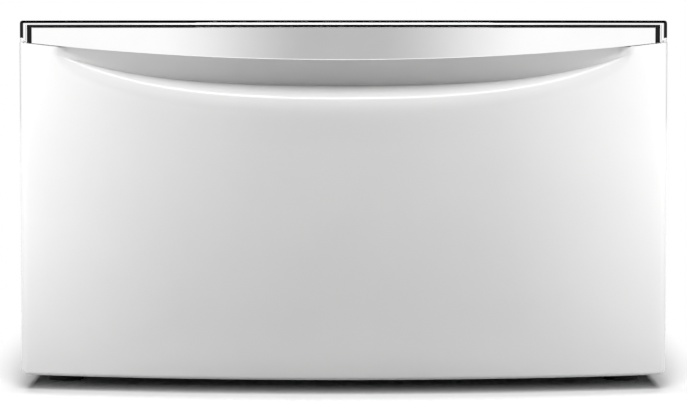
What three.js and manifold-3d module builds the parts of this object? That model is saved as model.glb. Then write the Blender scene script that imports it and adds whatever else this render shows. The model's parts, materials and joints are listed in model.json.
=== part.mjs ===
// Laundry pedestal: a low steel cabinet with one full-width storage drawer.
// Millimetres. X runs to the right, Y to the back, Z up; the front faces -Y.
// The origin is the middle of the footprint, on the floor.
import * as THREE from 'three';
import { mergeVertices } from 'three/addons/utils/BufferGeometryUtils.js';
import Module from 'manifold-3d';

const wasm = await Module();
wasm.setup();

// ---------------------------------------------------------------- driving dimensions

// Overall
const WIDTH = 686;
const HEIGHT = 394;
const DEPTH = 705;
const SHEET = 1.2; // cabinet and drawer sheet steel
const FIT = 0.3; // clearance between pieces that lie close but don't touch

// Drawer front
const FRONT_BOW = 50; // how far the middle of the front stands ahead of its sides
const FRONT_RETURN = 17.5; // side edge of the front, from the bow's end to its back rim
const FRONT_WALL = 3;
const FRONT_CORNER = 7; // radius of the upright edges, seen from above
const FRONT_BOTTOM = 18; // gap between the floor and the front
const FRONT_BOTTOM_ROUND = 4.5;
const FRONT_LOW_CORNER = 8; // radius of the two lower corners, seen from ahead
const FRONT_STATIONS = 12; // spans from the middle to one corner

// Finger recess under the handle trim
const RECESS_DEPTH = 28;
const RECESS_FULL_HALF = 205; // half of the width that has the full depth
const RECESS_END_HALF = 300; // half of the width where it has run out
const RECESS_END_DEPTH = 5.2;
const RECESS_DROP = 69; // from the top down to the recess's floor, in the middle
const LIP_CURL = 35; // height over which the face curls back into the recess
const LIP_CLIMB = 46.4; // how far the lip's curve rises from the middle to the sides
const LIP_STEPS = 6;
const LIP_END_GAP = 1; // dark line under the trim, outside the recess
const LIP_END_ROUND = 5;
const FINGER_POCKET = 10; // height of the recess behind the trim

// Handle trim
const TRIM_HEIGHT = 41.2; // in the middle
const TRIM_END_HEIGHT = 22.5;
const TRIM_THICK = 4;
const TRIM_TOP_THICK = 3;
const TRIM_TOP_DEPTH = 8;
const TRIM_ROUND = 5;
const TRIM_EDGE = 1;

// Drawer
const PANEL_INSET = 1.5; // inner panel's edge, inside the front's outline
const DRAWER_LENGTH = 500;
const DRAWER_BOTTOM = 50;
const DRAWER_HEADROOM = 124; // from the drawer walls' tops to the deck's top
const WALL_FOOT = 12; // flange under the floor
const WALL_HEM = 10;
const WALL_TAB = 15; // flange screwed to the inner panel
const BACK_HEM = 10;
const DIVIDER_Y = -20;
const DIVIDER_DROP = 12; // of its top, under the drawer walls' tops
const DIVIDER_HEM = 6;
const GUIDE_DEPTH = 8;
const HAND_SLOT_WIDTH = 96;
const HAND_SLOT_HEIGHT = 24;
const HAND_SLOT_DROP = 30; // from the divider's top to the slot's middle

// Cabinet
const BUMPER_THICK = 3.5;
const BUMPER_RADIUS = 6;
const BUMPER_DROP = 84; // of its middle, under the deck's top
const SIDE_FRONT_FLANGE = 20;
const SIDE_REAR_FLANGE = 18;
const DECK_FLANGE = 15;
const RAIL_SHEET = 1.5;
const TOP_RAIL_HEIGHT = 28;
const BOTTOM_RAIL_HEIGHT = 24;
const REAR_RAIL_HEIGHT = 40;
const RAIL_DEPTH = 25;
const WELL_RADIUS = 32; // flat floor of each well for a machine's foot
const WELL_SLOPE = 5;
const WELL_DEPTH = 4;
const WELL_SPACING_X = 540;
const WELL_SPACING_Y = 480;
const TROUGH_LENGTH = 380;
const TROUGH_WIDTH = 36;
const TROUGH_SPACING = 200;

// Drawer slides
const SLIDE_LENGTH = 457;
const SLIDE_HEIGHT = 45;
const SLIDE_THICK = 12.7;
const SLIDE_RISE = 100; // from the drawer's bottom to the middle of its slides
const SLIDE_SETBACK = 6; // from the cabinet's front edge to the slides
const SLIDE_SHEET = 1.2;
const SLIDE_MOUTH = 3; // from the side panels' front flanges in to the slides' backs
const SLIDE_TRAVEL = 430; // of the drawer; the middle members go half as far
const OUTER_REACH = 11;
const BALL = 3.6;
const BALL_PLAY = 0.2;
const CAGE_SHEET = 0.6;
const CAGE_GAP = 0.4;
const CAGE_MARGIN = 12.5; // left between a cage and the end of its race at full travel
const BALLS_A_ROW = 5;
const BRACKET_SHEET = 1.5;
const BRACKET_HAT = 50;
const BRACKET_FLANGE = 20;
const BRACKET_LENGTH = 474;
const LEVER_LENGTH = 42;
const LEVER_HEIGHT = 6.4;
const LEVER_THICK = 3;
const LEVER_PIN = 3;
const LEVER_SEAT = 24; // its pin, behind the middle member's front end at full travel

// Levelling feet
const FOOT_INSET_X = 36; // from the side panel's inner face to the stud
const FOOT_INSET_Y = 92; // from the front or rear flange to the stud
const PAD_RADIUS = 19;
const PAD_HEIGHT = 8;
const SOCKET_RADIUS = 4.3;
const SOCKET_DEPTH = 5.3;
const STUD_RADIUS = 4.76;
const STUD_LENGTH = 32; // above its hexagon; ends under the drawer
const STUD_HEX = 19; // across flats
const STUD_HEX_HEIGHT = 5;
const NUT_HEX = 16;
const LOCK_NUT_HEIGHT = 5.5;
const LOCK_NUT_GAP = 1.2;
const WELD_NUT_HEIGHT = 8;
const BRACKET_PLATE = 2.5;
const BRACKET_WIDTH = 72;
const BRACKET_REACH = 20; // of its plate beyond the middle of the stud
const BRACKET_RISE = 48;

// Screws
const SCREW_RADIUS = 2;
const SCREW_HOLE = 2.4;
const SCREW_HEAD_RADIUS = 4.2;
const SCREW_HEAD = 2;
const SCREW_LENGTH = 9;
const REAR_SCREW_EDGE = 45; // from the cabinet's top and bottom edges
const BOX_SCREW_EDGE = 40; // from the drawer box's top and bottom edges

const ROUND = 20; // facets of a round piece
const FINE = 0.5; // overlap that joins the two halves of one piece

// ---------------------------------------------------------------- derived places

const HALF = WIDTH / 2;
const FRONT_Y = -DEPTH / 2;
const REAR_Y = DEPTH / 2;
const FRONT_BACK_Y = FRONT_Y + FRONT_BOW + FRONT_RETURN;
const PANEL_BACK_Y = FRONT_BACK_Y + SHEET;
const CABINET_FRONT_Y = PANEL_BACK_Y + FIT + BUMPER_THICK;
const REAR_PANEL_Y = REAR_Y - SCREW_HEAD - SHEET; // its inner face
const CABINET_BOTTOM = PAD_HEIGHT + FIT + STUD_HEX_HEIGHT + LOCK_NUT_GAP + LOCK_NUT_HEIGHT;
const DECK_UNDER = HEIGHT - SHEET;
const SIDE_INNER = HALF - SHEET;
const RAIL_FRONT_Y = CABINET_FRONT_Y + SHEET;
const RAIL_REAR_Y = REAR_PANEL_Y - SHEET;
const SLIDE_BACK = HALF - SIDE_FRONT_FLANGE - SLIDE_MOUTH;
const CAGE_START = SLIDE_TRAVEL / 4 + CAGE_MARGIN;
const CAGE_LENGTH = SLIDE_LENGTH - 2 * CAGE_START;
const LEVER_START = SLIDE_TRAVEL / 2 + LEVER_SEAT;
const SLIDE_FRONT_Y = CABINET_FRONT_Y + SLIDE_SETBACK;
const BOX_HALF = SLIDE_BACK - SLIDE_THICK; // outer faces of the drawer box
const BOX_BACK_Y = PANEL_BACK_Y + DRAWER_LENGTH;
const FLOOR_TOP = DRAWER_BOTTOM + 2 * SHEET;
const DRAWER_TOP = HEIGHT - DRAWER_HEADROOM;
const SLIDE_Z = DRAWER_BOTTOM + SLIDE_RISE;
const DECK_MIDDLE_Y = (CABINET_FRONT_Y + REAR_PANEL_Y) / 2;
const TRIM_BACK = TRIM_THICK + FIT;
const FRONT_TOP = HEIGHT - TRIM_TOP_THICK - FIT;
const STUD_X = SIDE_INNER - FOOT_INSET_X;
const STUD_FRONT_Y = RAIL_FRONT_Y + FOOT_INSET_Y;
const STUD_REAR_Y = RAIL_REAR_Y - FOOT_INSET_Y;
const SIDES = [['left', -1], ['right', 1]];
const ENDS = [['front', STUD_FRONT_Y], ['rear', STUD_REAR_Y]];

// ---------------------------------------------------------------- materials

function finish(color, roughness, metalness) {
  return new THREE.MeshStandardMaterial({ color, roughness, metalness });
}
const enamel = finish(0xf2f2f0, 0.28, 0);
const zinc = finish(0xb4b8ba, 0.42, 0.9);
const steel = finish(0x9ea2a4, 0.35, 0.95);
const chrome = finish(0xdfe1e3, 0.08, 1);
const rubber = finish(0x232324, 0.85, 0);
const plastic = finish(0x34373a, 0.5, 0);

// ---------------------------------------------------------------- shape helpers

const model = new THREE.Group();

function add(name, geometry, material) {
  const mesh = new THREE.Mesh(geometry, material);
  mesh.name = name;
  model.add(mesh);
}

function toSolid(geometry) {
  const bare = new THREE.BufferGeometry();
  const loose = geometry.index ? geometry.toNonIndexed() : geometry;
  bare.setAttribute('position', loose.getAttribute('position'));
  const merged = mergeVertices(bare, 1e-4);
  return new wasm.Manifold(new wasm.Mesh({
    numProp: 3,
    vertProperties: new Float32Array(merged.getAttribute('position').array),
    triVerts: new Uint32Array(merged.index.array),
  }));
}

function toGeometry(solid) {
  const mesh = solid.getMesh();
  const geometry = new THREE.BufferGeometry();
  geometry.setAttribute('position', new THREE.BufferAttribute(mesh.vertProperties, 3));
  geometry.setIndex(new THREE.BufferAttribute(mesh.triVerts, 1));
  return geometry.toNonIndexed();
}

function join(first, ...others) {
  return others.reduce((whole, geometry) => whole.add(toSolid(geometry)), toSolid(first));
}

function cut(solid, ...tools) {
  return tools.reduce((whole, geometry) => whole.subtract(toSolid(geometry)), solid);
}

// A box given by its low and high values on each axis.
function box([x0, x1], [y0, y1], [z0, z1]) {
  const geometry = new THREE.BoxGeometry(Math.abs(x1 - x0), y1 - y0, z1 - z0);
  return geometry.translate((x0 + x1) / 2, (y0 + y1) / 2, (z0 + z1) / 2);
}

function extrude(points, length) {
  const outline = points.map(([a, b]) => new THREE.Vector2(a, b));
  if (THREE.ShapeUtils.area(outline) < 0) outline.reverse();
  return new THREE.ExtrudeGeometry(new THREE.Shape(outline), {
    depth: length,
    bevelEnabled: false,
    steps: 1,
  });
}

// An outline of [x, y] points, raised from z0 to z1.
function risen(points, z0, z1) {
  return extrude(points, z1 - z0).translate(0, 0, z0);
}

// An outline of [x, z] points, run from y0 to y1.
function alongY(points, y0, y1) {
  return extrude(points, y1 - y0).rotateX(Math.PI / 2).translate(0, y1, 0);
}

// An outline of [y, z] points, run from x0 to x1.
function alongX(points, x0, x1) {
  return extrude(points, x1 - x0).rotateY(Math.PI / 2).rotateX(Math.PI / 2).translate(x0, 0, 0);
}

function mirrored(points, side) {
  return points.map(([x, other]) => [x * side, other]);
}

// Upright cylinder or hexagonal prism from z0 to z1.
function upright(radius, z0, z1, x, y, facets = ROUND, topRadius = radius) {
  const geometry = new THREE.CylinderGeometry(topRadius, radius, z1 - z0, facets);
  return geometry.rotateX(Math.PI / 2).translate(x, y, (z0 + z1) / 2);
}

const HEX_SIDES = 6;

function hexagon(acrossFlats, z0, z1, x, y) {
  const radius = acrossFlats / 2 / Math.cos(Math.PI / HEX_SIDES);
  return upright(radius, z0, z1, x, y, HEX_SIDES);
}

// Cylinder that lies along Y.
function lyingY(radius, y0, y1, x, z) {
  return new THREE.CylinderGeometry(radius, radius, y1 - y0, ROUND).translate(x, (y0 + y1) / 2, z);
}

// Cylinder that lies along X.
function lyingX(radius, x0, x1, y, z) {
  const geometry = new THREE.CylinderGeometry(radius, radius, Math.abs(x1 - x0), ROUND);
  return geometry.rotateZ(Math.PI / 2).translate((x0 + x1) / 2, y, z);
}

// A slot outline with round ends, its long way along the first axis.
function slotOutline(length, width, across, up) {
  const steps = 6;
  const points = [];
  for (const end of [1, -1]) {
    for (let i = 0; i <= steps; i += 1) {
      const turn = Math.PI * (i / steps - 0.5) + (end < 0 ? Math.PI : 0);
      const run = end * (length - width) / 2;
      points.push([across + run + width / 2 * Math.cos(turn), up + width / 2 * Math.sin(turn)]);
    }
  }
  return points;
}

// Skin over closed [y, z] outlines that stand at rising x, with flat end caps.
function loft(sections) {
  const rings = sections.map(({ x, outline }) => {
    const flat = outline.map(([y, z]) => new THREE.Vector2(y, z));
    return { x, flat: THREE.ShapeUtils.isClockWise(flat) ? flat.reverse() : flat };
  });
  const count = rings[0].flat.length;
  const positions = rings.flatMap(({ x, flat }) => flat.flatMap((point) => [x, point.x, point.y]));
  const last = (rings.length - 1) * count;
  const index = [];
  for (let start = 0; start < last; start += count) {
    for (let i = 0; i < count; i += 1) {
      const here = start + i;
      const next = start + (i + 1) % count;
      index.push(here, next, here + count, next, next + count, here + count);
    }
  }
  for (const [a, b, c] of THREE.ShapeUtils.triangulateShape(rings[0].flat, [])) {
    index.push(c, b, a);
  }
  for (const [a, b, c] of THREE.ShapeUtils.triangulateShape(rings.at(-1).flat, [])) {
    index.push(last + a, last + b, last + c);
  }
  const geometry = new THREE.BufferGeometry();
  geometry.setAttribute('position', new THREE.Float32BufferAttribute(positions, 3));
  geometry.setIndex(index);
  return geometry;
}

// ---------------------------------------------------------------- drawer front and trim

// Y of the bowed front at x, with its corner turned back, on a skin that lies inset deep.
function frontY(x, inset) {
  const radius = (HALF ** 2 + FRONT_BOW ** 2) / (2 * FRONT_BOW);
  const bow = FRONT_Y + radius - Math.sqrt(radius ** 2 - x ** 2);
  const corner = FRONT_CORNER - inset;
  const into = Math.max(0, Math.abs(x) - (HALF - FRONT_CORNER));
  return bow + inset + corner - Math.sqrt(Math.max(0, corner ** 2 - into ** 2));
}

// X stations from side to side: even over the bow, and by angle round the corners.
function frontStations(inset) {
  const straight = HALF - FRONT_CORNER;
  const corner = FRONT_CORNER - inset;
  const turns = [0.35, 0.7, 1].map((share) => straight + corner * Math.sin(share * Math.PI / 2));
  const half = [];
  for (let i = 1; i <= FRONT_STATIONS; i += 1) half.push(straight * i / FRONT_STATIONS);
  half.push(...turns);
  return [...half.map((x) => -x).reverse(), 0, ...half];
}

function trimLow(x) {
  return HEIGHT - TRIM_HEIGHT + (TRIM_HEIGHT - TRIM_END_HEIGHT) * (x / HALF) ** 2;
}

// Share of the finger recess that is left at x: 1 in the middle, 0 at its ends.
function recessShare(x) {
  return 1 - THREE.MathUtils.smoothstep(Math.abs(x), RECESS_FULL_HALF, RECESS_END_HALF);
}

// The recess's sizes at x.
function recessAt(x) {
  const share = recessShare(x);
  const lipTop = HEIGHT - RECESS_DROP + LIP_CLIMB * (x / HALF) ** 2;
  const endTop = trimLow(x) - LIP_END_GAP;
  return {
    depth: THREE.MathUtils.lerp(RECESS_END_DEPTH, RECESS_DEPTH, share),
    top: THREE.MathUtils.lerp(endTop, lipTop, share),
    bottom: THREE.MathUtils.lerp(endTop - LIP_END_ROUND, lipTop - LIP_CURL, share),
    ceiling: trimLow(x) + LIP_END_GAP + FINGER_POCKET * share,
  };
}

// Height of the front's lower edge at x.
function frontBase(x) {
  const into = Math.max(0, Math.abs(x) - (HALF - FRONT_LOW_CORNER));
  return FRONT_BOTTOM + FRONT_LOW_CORNER - Math.sqrt(FRONT_LOW_CORNER ** 2 - into ** 2);
}

// Section of the drawer front at x, moved inset inwards all round, open to backY.
function frontOutline(x, inset, backY) {
  const y = frontY(x, inset);
  const skin = y - inset;
  const recess = recessAt(x);
  const height = recess.top - recess.bottom;
  const base = frontBase(x);
  const bottomRound = FRONT_BOTTOM_ROUND - inset;
  const points = [[backY, base + inset]];
  for (let i = 0; i <= 3; i += 1) {
    const turn = i / 3 * Math.PI / 2;
    const back = y + bottomRound * (1 - Math.sin(turn));
    points.push([back, base + FRONT_BOTTOM_ROUND - bottomRound * Math.cos(turn)]);
  }
  points.push([y, recess.bottom]);
  for (let i = 1; i < LIP_STEPS; i += 1) {
    const turn = i / LIP_STEPS * Math.PI / 2;
    const normal = new THREE.Vector2(-Math.cos(turn) / recess.depth, Math.sin(turn) / height);
    normal.normalize();
    points.push([
      skin + recess.depth * (1 - Math.cos(turn)) - inset * normal.x,
      recess.bottom + height * Math.sin(turn) - inset * normal.y,
    ]);
  }
  points.push([skin + recess.depth + inset, recess.top - inset]);
  points.push([skin + recess.depth + inset, recess.ceiling + inset]);
  points.push([skin + TRIM_BACK + inset, recess.ceiling + inset]);
  points.push([skin + TRIM_BACK + inset, FRONT_TOP - inset]);
  points.push([backY, FRONT_TOP - inset]);
  return points;
}

function frontLoft(inset, backY) {
  return loft(frontStations(inset).map((x) => ({ x, outline: frontOutline(x, inset, backY) })));
}

// Section of the handle trim at x.
function trimOutline(x) {
  const y = frontY(x, 0);
  const low = trimLow(x);
  const points = [[y + TRIM_THICK, low], [y + TRIM_EDGE, low], [y, low + TRIM_EDGE]];
  for (let i = 0; i <= 4; i += 1) {
    const turn = i / 4 * Math.PI / 2;
    const back = y + TRIM_ROUND * (1 - Math.cos(turn));
    points.push([back, HEIGHT - TRIM_ROUND * (1 - Math.sin(turn))]);
  }
  points.push([y + TRIM_TOP_DEPTH, HEIGHT], [y + TRIM_TOP_DEPTH, HEIGHT - TRIM_TOP_THICK]);
  points.push([y + TRIM_THICK, HEIGHT - TRIM_TOP_THICK]);
  return points;
}

function addFront() {
  const shell = toSolid(frontLoft(0, FRONT_BACK_Y));
  const hollow = toSolid(frontLoft(FRONT_WALL, FRONT_BACK_Y + FRONT_WALL));
  add('drawer_front', toGeometry(shell.subtract(hollow)), enamel);
  add('handle_trim', loft(frontStations(0).map((x) => ({ x, outline: trimOutline(x) }))), chrome);
}

// ---------------------------------------------------------------- screws

// A screw along Y whose head's seat is at seatY; it points to -Y or +Y.
function screw(x, seatY, z, points) {
  const head = [seatY, seatY - points * SCREW_HEAD].sort((a, b) => a - b);
  const shank = [seatY - points * FINE, seatY + points * SCREW_LENGTH].sort((a, b) => a - b);
  return toGeometry(join(
    lyingY(SCREW_HEAD_RADIUS, ...head, x, z),
    lyingY(SCREW_RADIUS, ...shank, x, z),
  ));
}

function screwHole(x, y, z) {
  return lyingY(SCREW_HOLE, y - FRONT_RETURN / 2, y + FRONT_RETURN / 2, x, z);
}

const BOX_SCREW_X = BOX_HALF - SHEET - WALL_TAB / 2;
const BOX_SCREWS = [DRAWER_BOTTOM + BOX_SCREW_EDGE, DRAWER_TOP - BOX_SCREW_EDGE];
const REAR_SCREW_X = HALF - SIDE_REAR_FLANGE / 2;
const REAR_SCREWS = [CABINET_BOTTOM + REAR_SCREW_EDGE, DECK_UNDER - REAR_SCREW_EDGE];

function addScrews() {
  for (const [name, side] of SIDES) {
    for (const [i, level] of ['lower', 'upper'].entries()) {
      const box = screw(side * BOX_SCREW_X, PANEL_BACK_Y + SHEET, BOX_SCREWS[i], -1);
      add(`drawer_screw_${level}_${name}`, box, steel);
      const rear = screw(side * REAR_SCREW_X, REAR_PANEL_Y + SHEET, REAR_SCREWS[i], -1);
      add(`rear_screw_${level}_${name}`, rear, steel);
    }
  }
}

// ---------------------------------------------------------------- drawer box

function addInnerPanel() {
  const wide = HALF - PANEL_INSET;
  const low = FRONT_BOTTOM + PANEL_INSET;
  const high = FRONT_TOP - PANEL_INSET;
  const round = FRONT_LOW_CORNER - PANEL_INSET;
  const corner = [0, 1, 2, 3].map((step) => {
    const turn = step / 3 * Math.PI / 2;
    return [wide - round * (1 - Math.cos(turn)), low + round * (1 - Math.sin(turn))];
  });
  const outline = [[-wide, high], ...mirrored(corner, -1), ...corner.reverse(), [wide, high]];
  const panel = toSolid(alongY(outline, FRONT_BACK_Y, PANEL_BACK_Y));
  const holes = SIDES.flatMap(([, side]) => BOX_SCREWS.map(
    (z) => screwHole(side * BOX_SCREW_X, PANEL_BACK_Y, z),
  ));
  add('drawer_inner_panel', toGeometry(cut(panel, ...holes)), enamel);
}

function addDrawerWalls() {
  const inner = BOX_HALF - SHEET;
  const section = [
    [BOX_HALF, DRAWER_BOTTOM],
    [BOX_HALF, DRAWER_TOP],
    [BOX_HALF - WALL_HEM, DRAWER_TOP],
    [BOX_HALF - WALL_HEM, DRAWER_TOP - SHEET],
    [inner, DRAWER_TOP - SHEET],
    [inner, DRAWER_BOTTOM + SHEET],
    [BOX_HALF - WALL_FOOT, DRAWER_BOTTOM + SHEET],
    [BOX_HALF - WALL_FOOT, DRAWER_BOTTOM],
  ];
  const rise = [FLOOR_TOP + FIT, DRAWER_TOP - SHEET + FIT];
  const slot = SHEET / 2 + FIT;
  for (const [name, side] of SIDES) {
    const across = (depth) => [side * (inner - depth), side * (inner + SHEET / 2)];
    const wall = join(
      alongY(mirrored(section, side), PANEL_BACK_Y, BOX_BACK_Y),
      box(across(WALL_TAB), [PANEL_BACK_Y, PANEL_BACK_Y + SHEET], rise),
      box(across(GUIDE_DEPTH), [DIVIDER_Y - slot - SHEET, DIVIDER_Y - slot], rise),
      box(across(GUIDE_DEPTH), [DIVIDER_Y + slot, DIVIDER_Y + slot + SHEET], rise),
    );
    const holes = BOX_SCREWS.map((z) => screwHole(side * BOX_SCREW_X, PANEL_BACK_Y, z));
    // The divider's ears leave their guides through a slot in the wall's hem.
    const notch = box(
      [side * (inner - WALL_HEM), side * inner],
      [DIVIDER_Y - slot, DIVIDER_Y + slot],
      [rise[1] - WALL_HEM, DRAWER_TOP + FIT],
    );
    add(`drawer_wall_${name}`, toGeometry(cut(wall, notch, ...holes)), zinc);
  }
}

function addDrawerFloorAndBack() {
  const half = BOX_HALF - SHEET - FIT;
  add('drawer_floor', box(
    [-half, half],
    [PANEL_BACK_Y, BOX_BACK_Y],
    [DRAWER_BOTTOM + SHEET, FLOOR_TOP],
  ), zinc);
  const top = DRAWER_TOP - SHEET - FIT;
  add('drawer_back', alongX([
    [BOX_BACK_Y, FLOOR_TOP],
    [BOX_BACK_Y, top],
    [BOX_BACK_Y - BACK_HEM, top],
    [BOX_BACK_Y - BACK_HEM, top - SHEET],
    [BOX_BACK_Y - SHEET, top - SHEET],
    [BOX_BACK_Y - SHEET, FLOOR_TOP],
  ], -half, half), zinc);
}

function addDivider() {
  const half = BOX_HALF - SHEET - FIT;
  const hemHalf = BOX_HALF - Math.max(WALL_HEM, GUIDE_DEPTH + SHEET) - FIT;
  const bottom = FLOOR_TOP + FIT;
  const top = DRAWER_TOP - DIVIDER_DROP;
  const plate = join(
    box([-half, half], [DIVIDER_Y - SHEET / 2, DIVIDER_Y + SHEET / 2], [bottom, top]),
    box(
      [-hemHalf, hemHalf],
      [DIVIDER_Y - DIVIDER_HEM / 2, DIVIDER_Y + DIVIDER_HEM / 2],
      [top - DIVIDER_HEM, top],
    ),
  );
  const slot = slotOutline(HAND_SLOT_WIDTH, HAND_SLOT_HEIGHT, 0, top - HAND_SLOT_DROP);
  const tool = alongY(slot, DIVIDER_Y - DIVIDER_HEM, DIVIDER_Y + DIVIDER_HEM);
  add('drawer_divider', toGeometry(cut(plate, tool)), zinc);
}

// ---------------------------------------------------------------- cabinet

function addSidePanels() {
  const section = [
    [HALF, CABINET_FRONT_Y],
    [HALF, REAR_PANEL_Y],
    [HALF - SIDE_REAR_FLANGE, REAR_PANEL_Y],
    [HALF - SIDE_REAR_FLANGE, RAIL_REAR_Y],
    [SIDE_INNER, RAIL_REAR_Y],
    [SIDE_INNER, RAIL_FRONT_Y],
    [HALF - SIDE_FRONT_FLANGE, RAIL_FRONT_Y],
    [HALF - SIDE_FRONT_FLANGE, CABINET_FRONT_Y],
  ];
  for (const [name, side] of SIDES) {
    const panel = join(risen(mirrored(section, side), CABINET_BOTTOM, DECK_UNDER));
    const holes = REAR_SCREWS.map((z) => screwHole(side * REAR_SCREW_X, REAR_PANEL_Y, z));
    add(`side_panel_${name}`, toGeometry(cut(panel, ...holes)), enamel);
  }
}

function addRearPanel() {
  const panel = join(box(
    [-HALF + SHEET, HALF - SHEET],
    [REAR_PANEL_Y, REAR_PANEL_Y + SHEET],
    [CABINET_BOTTOM, DECK_UNDER],
  ));
  const holes = SIDES.flatMap(([, side]) => REAR_SCREWS.map(
    (z) => screwHole(side * REAR_SCREW_X, REAR_PANEL_Y, z),
  ));
  add('rear_panel', toGeometry(cut(panel, ...holes)), enamel);
}

// The deck has a round well for each foot of the machine and two stiffening troughs.
function addDeck() {
  const rear = REAR_PANEL_Y + SHEET;
  const flangeZ = [DECK_UNDER - DECK_FLANGE, DECK_UNDER + SHEET / 2];
  const flangeY = [RAIL_FRONT_Y + FIT, RAIL_REAR_Y - FIT];
  const bulges = [];
  const hollows = [];
  for (const across of [-1, 1]) {
    const x = across * WELL_SPACING_X / 2;
    for (const along of [-1, 1]) {
      const y = DECK_MIDDLE_Y + along * WELL_SPACING_Y / 2;
      const rim = WELL_RADIUS + WELL_SLOPE;
      const low = DECK_UNDER - WELL_DEPTH;
      bulges.push(upright(WELL_RADIUS + SHEET, low, HEIGHT - SHEET / 2, x, y, ROUND, rim + SHEET));
      hollows.push(upright(WELL_RADIUS, low + SHEET, HEIGHT + SHEET, x, y, ROUND, rim + SHEET));
    }
    const y = DECK_MIDDLE_Y + across * TROUGH_SPACING / 2;
    const wide = slotOutline(TROUGH_LENGTH + 2 * SHEET, TROUGH_WIDTH + 2 * SHEET, 0, y);
    const narrow = slotOutline(TROUGH_LENGTH, TROUGH_WIDTH, 0, y);
    bulges.push(risen(wide, DECK_UNDER - WELL_DEPTH, HEIGHT - SHEET / 2));
    hollows.push(risen(narrow, DECK_UNDER - WELL_DEPTH + SHEET, HEIGHT + SHEET));
  }
  const sheet = join(
    box([-HALF, HALF], [CABINET_FRONT_Y, rear], [DECK_UNDER, HEIGHT]),
    box([SIDE_INNER - SHEET, SIDE_INNER], flangeY, flangeZ),
    box([-SIDE_INNER, SHEET - SIDE_INNER], flangeY, flangeZ),
    ...bulges,
  );
  add('top_deck', toGeometry(cut(sheet, ...hollows)), enamel);
}

// Channel section as [y, z] points, its web at webY and open towards into.
function channel(webY, into, low, high) {
  const far = webY + into * RAIL_DEPTH;
  const web = webY + into * RAIL_SHEET;
  return [
    [webY, low],
    [far, low],
    [far, low + RAIL_SHEET],
    [web, low + RAIL_SHEET],
    [web, high - RAIL_SHEET],
    [far, high - RAIL_SHEET],
    [far, high],
    [webY, high],
  ];
}

function addRails() {
  const topHalf = SIDE_INNER - SHEET - FIT;
  const baseHalf = SIDE_INNER - BRACKET_PLATE;
  const base = CABINET_BOTTOM + BRACKET_PLATE;
  const top = channel(RAIL_FRONT_Y, 1, DECK_UNDER - TOP_RAIL_HEIGHT, DECK_UNDER);
  const front = channel(RAIL_FRONT_Y, 1, base, base + BOTTOM_RAIL_HEIGHT);
  const rear = channel(RAIL_REAR_Y, -1, base, base + REAR_RAIL_HEIGHT);
  add('front_top_rail', alongX(top, -topHalf, topHalf), enamel);
  add('front_bottom_rail', alongX(front, -baseHalf, baseHalf), enamel);
  add('rear_bottom_rail', alongX(rear, -baseHalf, baseHalf), zinc);
}

function addBumpers() {
  const x = HALF - SIDE_FRONT_FLANGE / 2 - SHEET;
  for (const [name, side] of SIDES) {
    const y = [CABINET_FRONT_Y - BUMPER_THICK, CABINET_FRONT_Y];
    add(`bumper_${name}`, lyingY(BUMPER_RADIUS, ...y, side * x, HEIGHT - BUMPER_DROP), rubber);
  }
}

// ---------------------------------------------------------------- drawer slides

// Place across the slide: 0 at the back of its outer member, more towards the drawer.
function across(depth) {
  return SLIDE_BACK - depth;
}

const HALF_HEIGHT = SLIDE_HEIGHT / 2;
const OUTER_RACE = HALF_HEIGHT - SLIDE_SHEET; // inner face of the outer member's flange
const OUTER_BALL_Z = OUTER_RACE - BALL_PLAY - BALL / 2;
const MID_FLANGE = OUTER_BALL_Z - BALL / 2 - BALL_PLAY;
const MID_RACE = MID_FLANGE - SLIDE_SHEET;
const INNER_BALL_Z = MID_RACE - BALL_PLAY - BALL / 2;
const INNER_FLANGE = INNER_BALL_Z - BALL / 2 - BALL_PLAY;
const OUTER_CAGE = SLIDE_SHEET + CAGE_GAP;
const MID_WEB = OUTER_CAGE + CAGE_SHEET + CAGE_GAP;
const INNER_CAGE = MID_WEB + SLIDE_SHEET + CAGE_GAP;
const OUTER_BALL_X = MID_WEB + SLIDE_SHEET + BALL / 2 + BALL_PLAY;
const INNER_BALL_X = INNER_CAGE + CAGE_SHEET + BALL / 2 + 2 * BALL_PLAY;
const INNER_TIP = INNER_BALL_X - BALL / 2 - BALL_PLAY;

// Channel with its web at depth web, flanges outside at height high, open towards tip.
function slideSection(web, tip, high, sheet) {
  const inner = tip > web ? web + sheet : web - sheet;
  const points = [
    [web, -high],
    [tip, -high],
    [tip, sheet - high],
    [inner, sheet - high],
    [inner, high - sheet],
    [tip, high - sheet],
    [tip, high],
    [web, high],
  ];
  return points.map(([depth, z]) => [across(depth), SLIDE_Z + z]);
}

function slideMember(section, side) {
  const end = SLIDE_FRONT_Y + SLIDE_LENGTH;
  return alongY(mirrored(section, side), SLIDE_FRONT_Y, end);
}

// A ball cage: a thin channel whose flanges hold a row of balls above and below.
function ballCage(web, ballX, ballZ, side) {
  const start = SLIDE_FRONT_Y + CAGE_START;
  const tip = ballX + BALL / 2 + BALL_PLAY;
  const high = ballZ + CAGE_SHEET / 2;
  const section = slideSection(web, tip, high, CAGE_SHEET);
  const balls = [];
  for (let i = 0; i < BALLS_A_ROW; i += 1) {
    const y = start + CAGE_LENGTH * (i + 0.5) / BALLS_A_ROW;
    for (const row of [-1, 1]) {
      const ball = new THREE.SphereGeometry(BALL / 2, 6, 4);
      balls.push(ball.translate(side * across(ballX), y, SLIDE_Z + row * ballZ));
    }
  }
  return toGeometry(join(alongY(mirrored(section, side), start, start + CAGE_LENGTH), ...balls));
}

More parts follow.
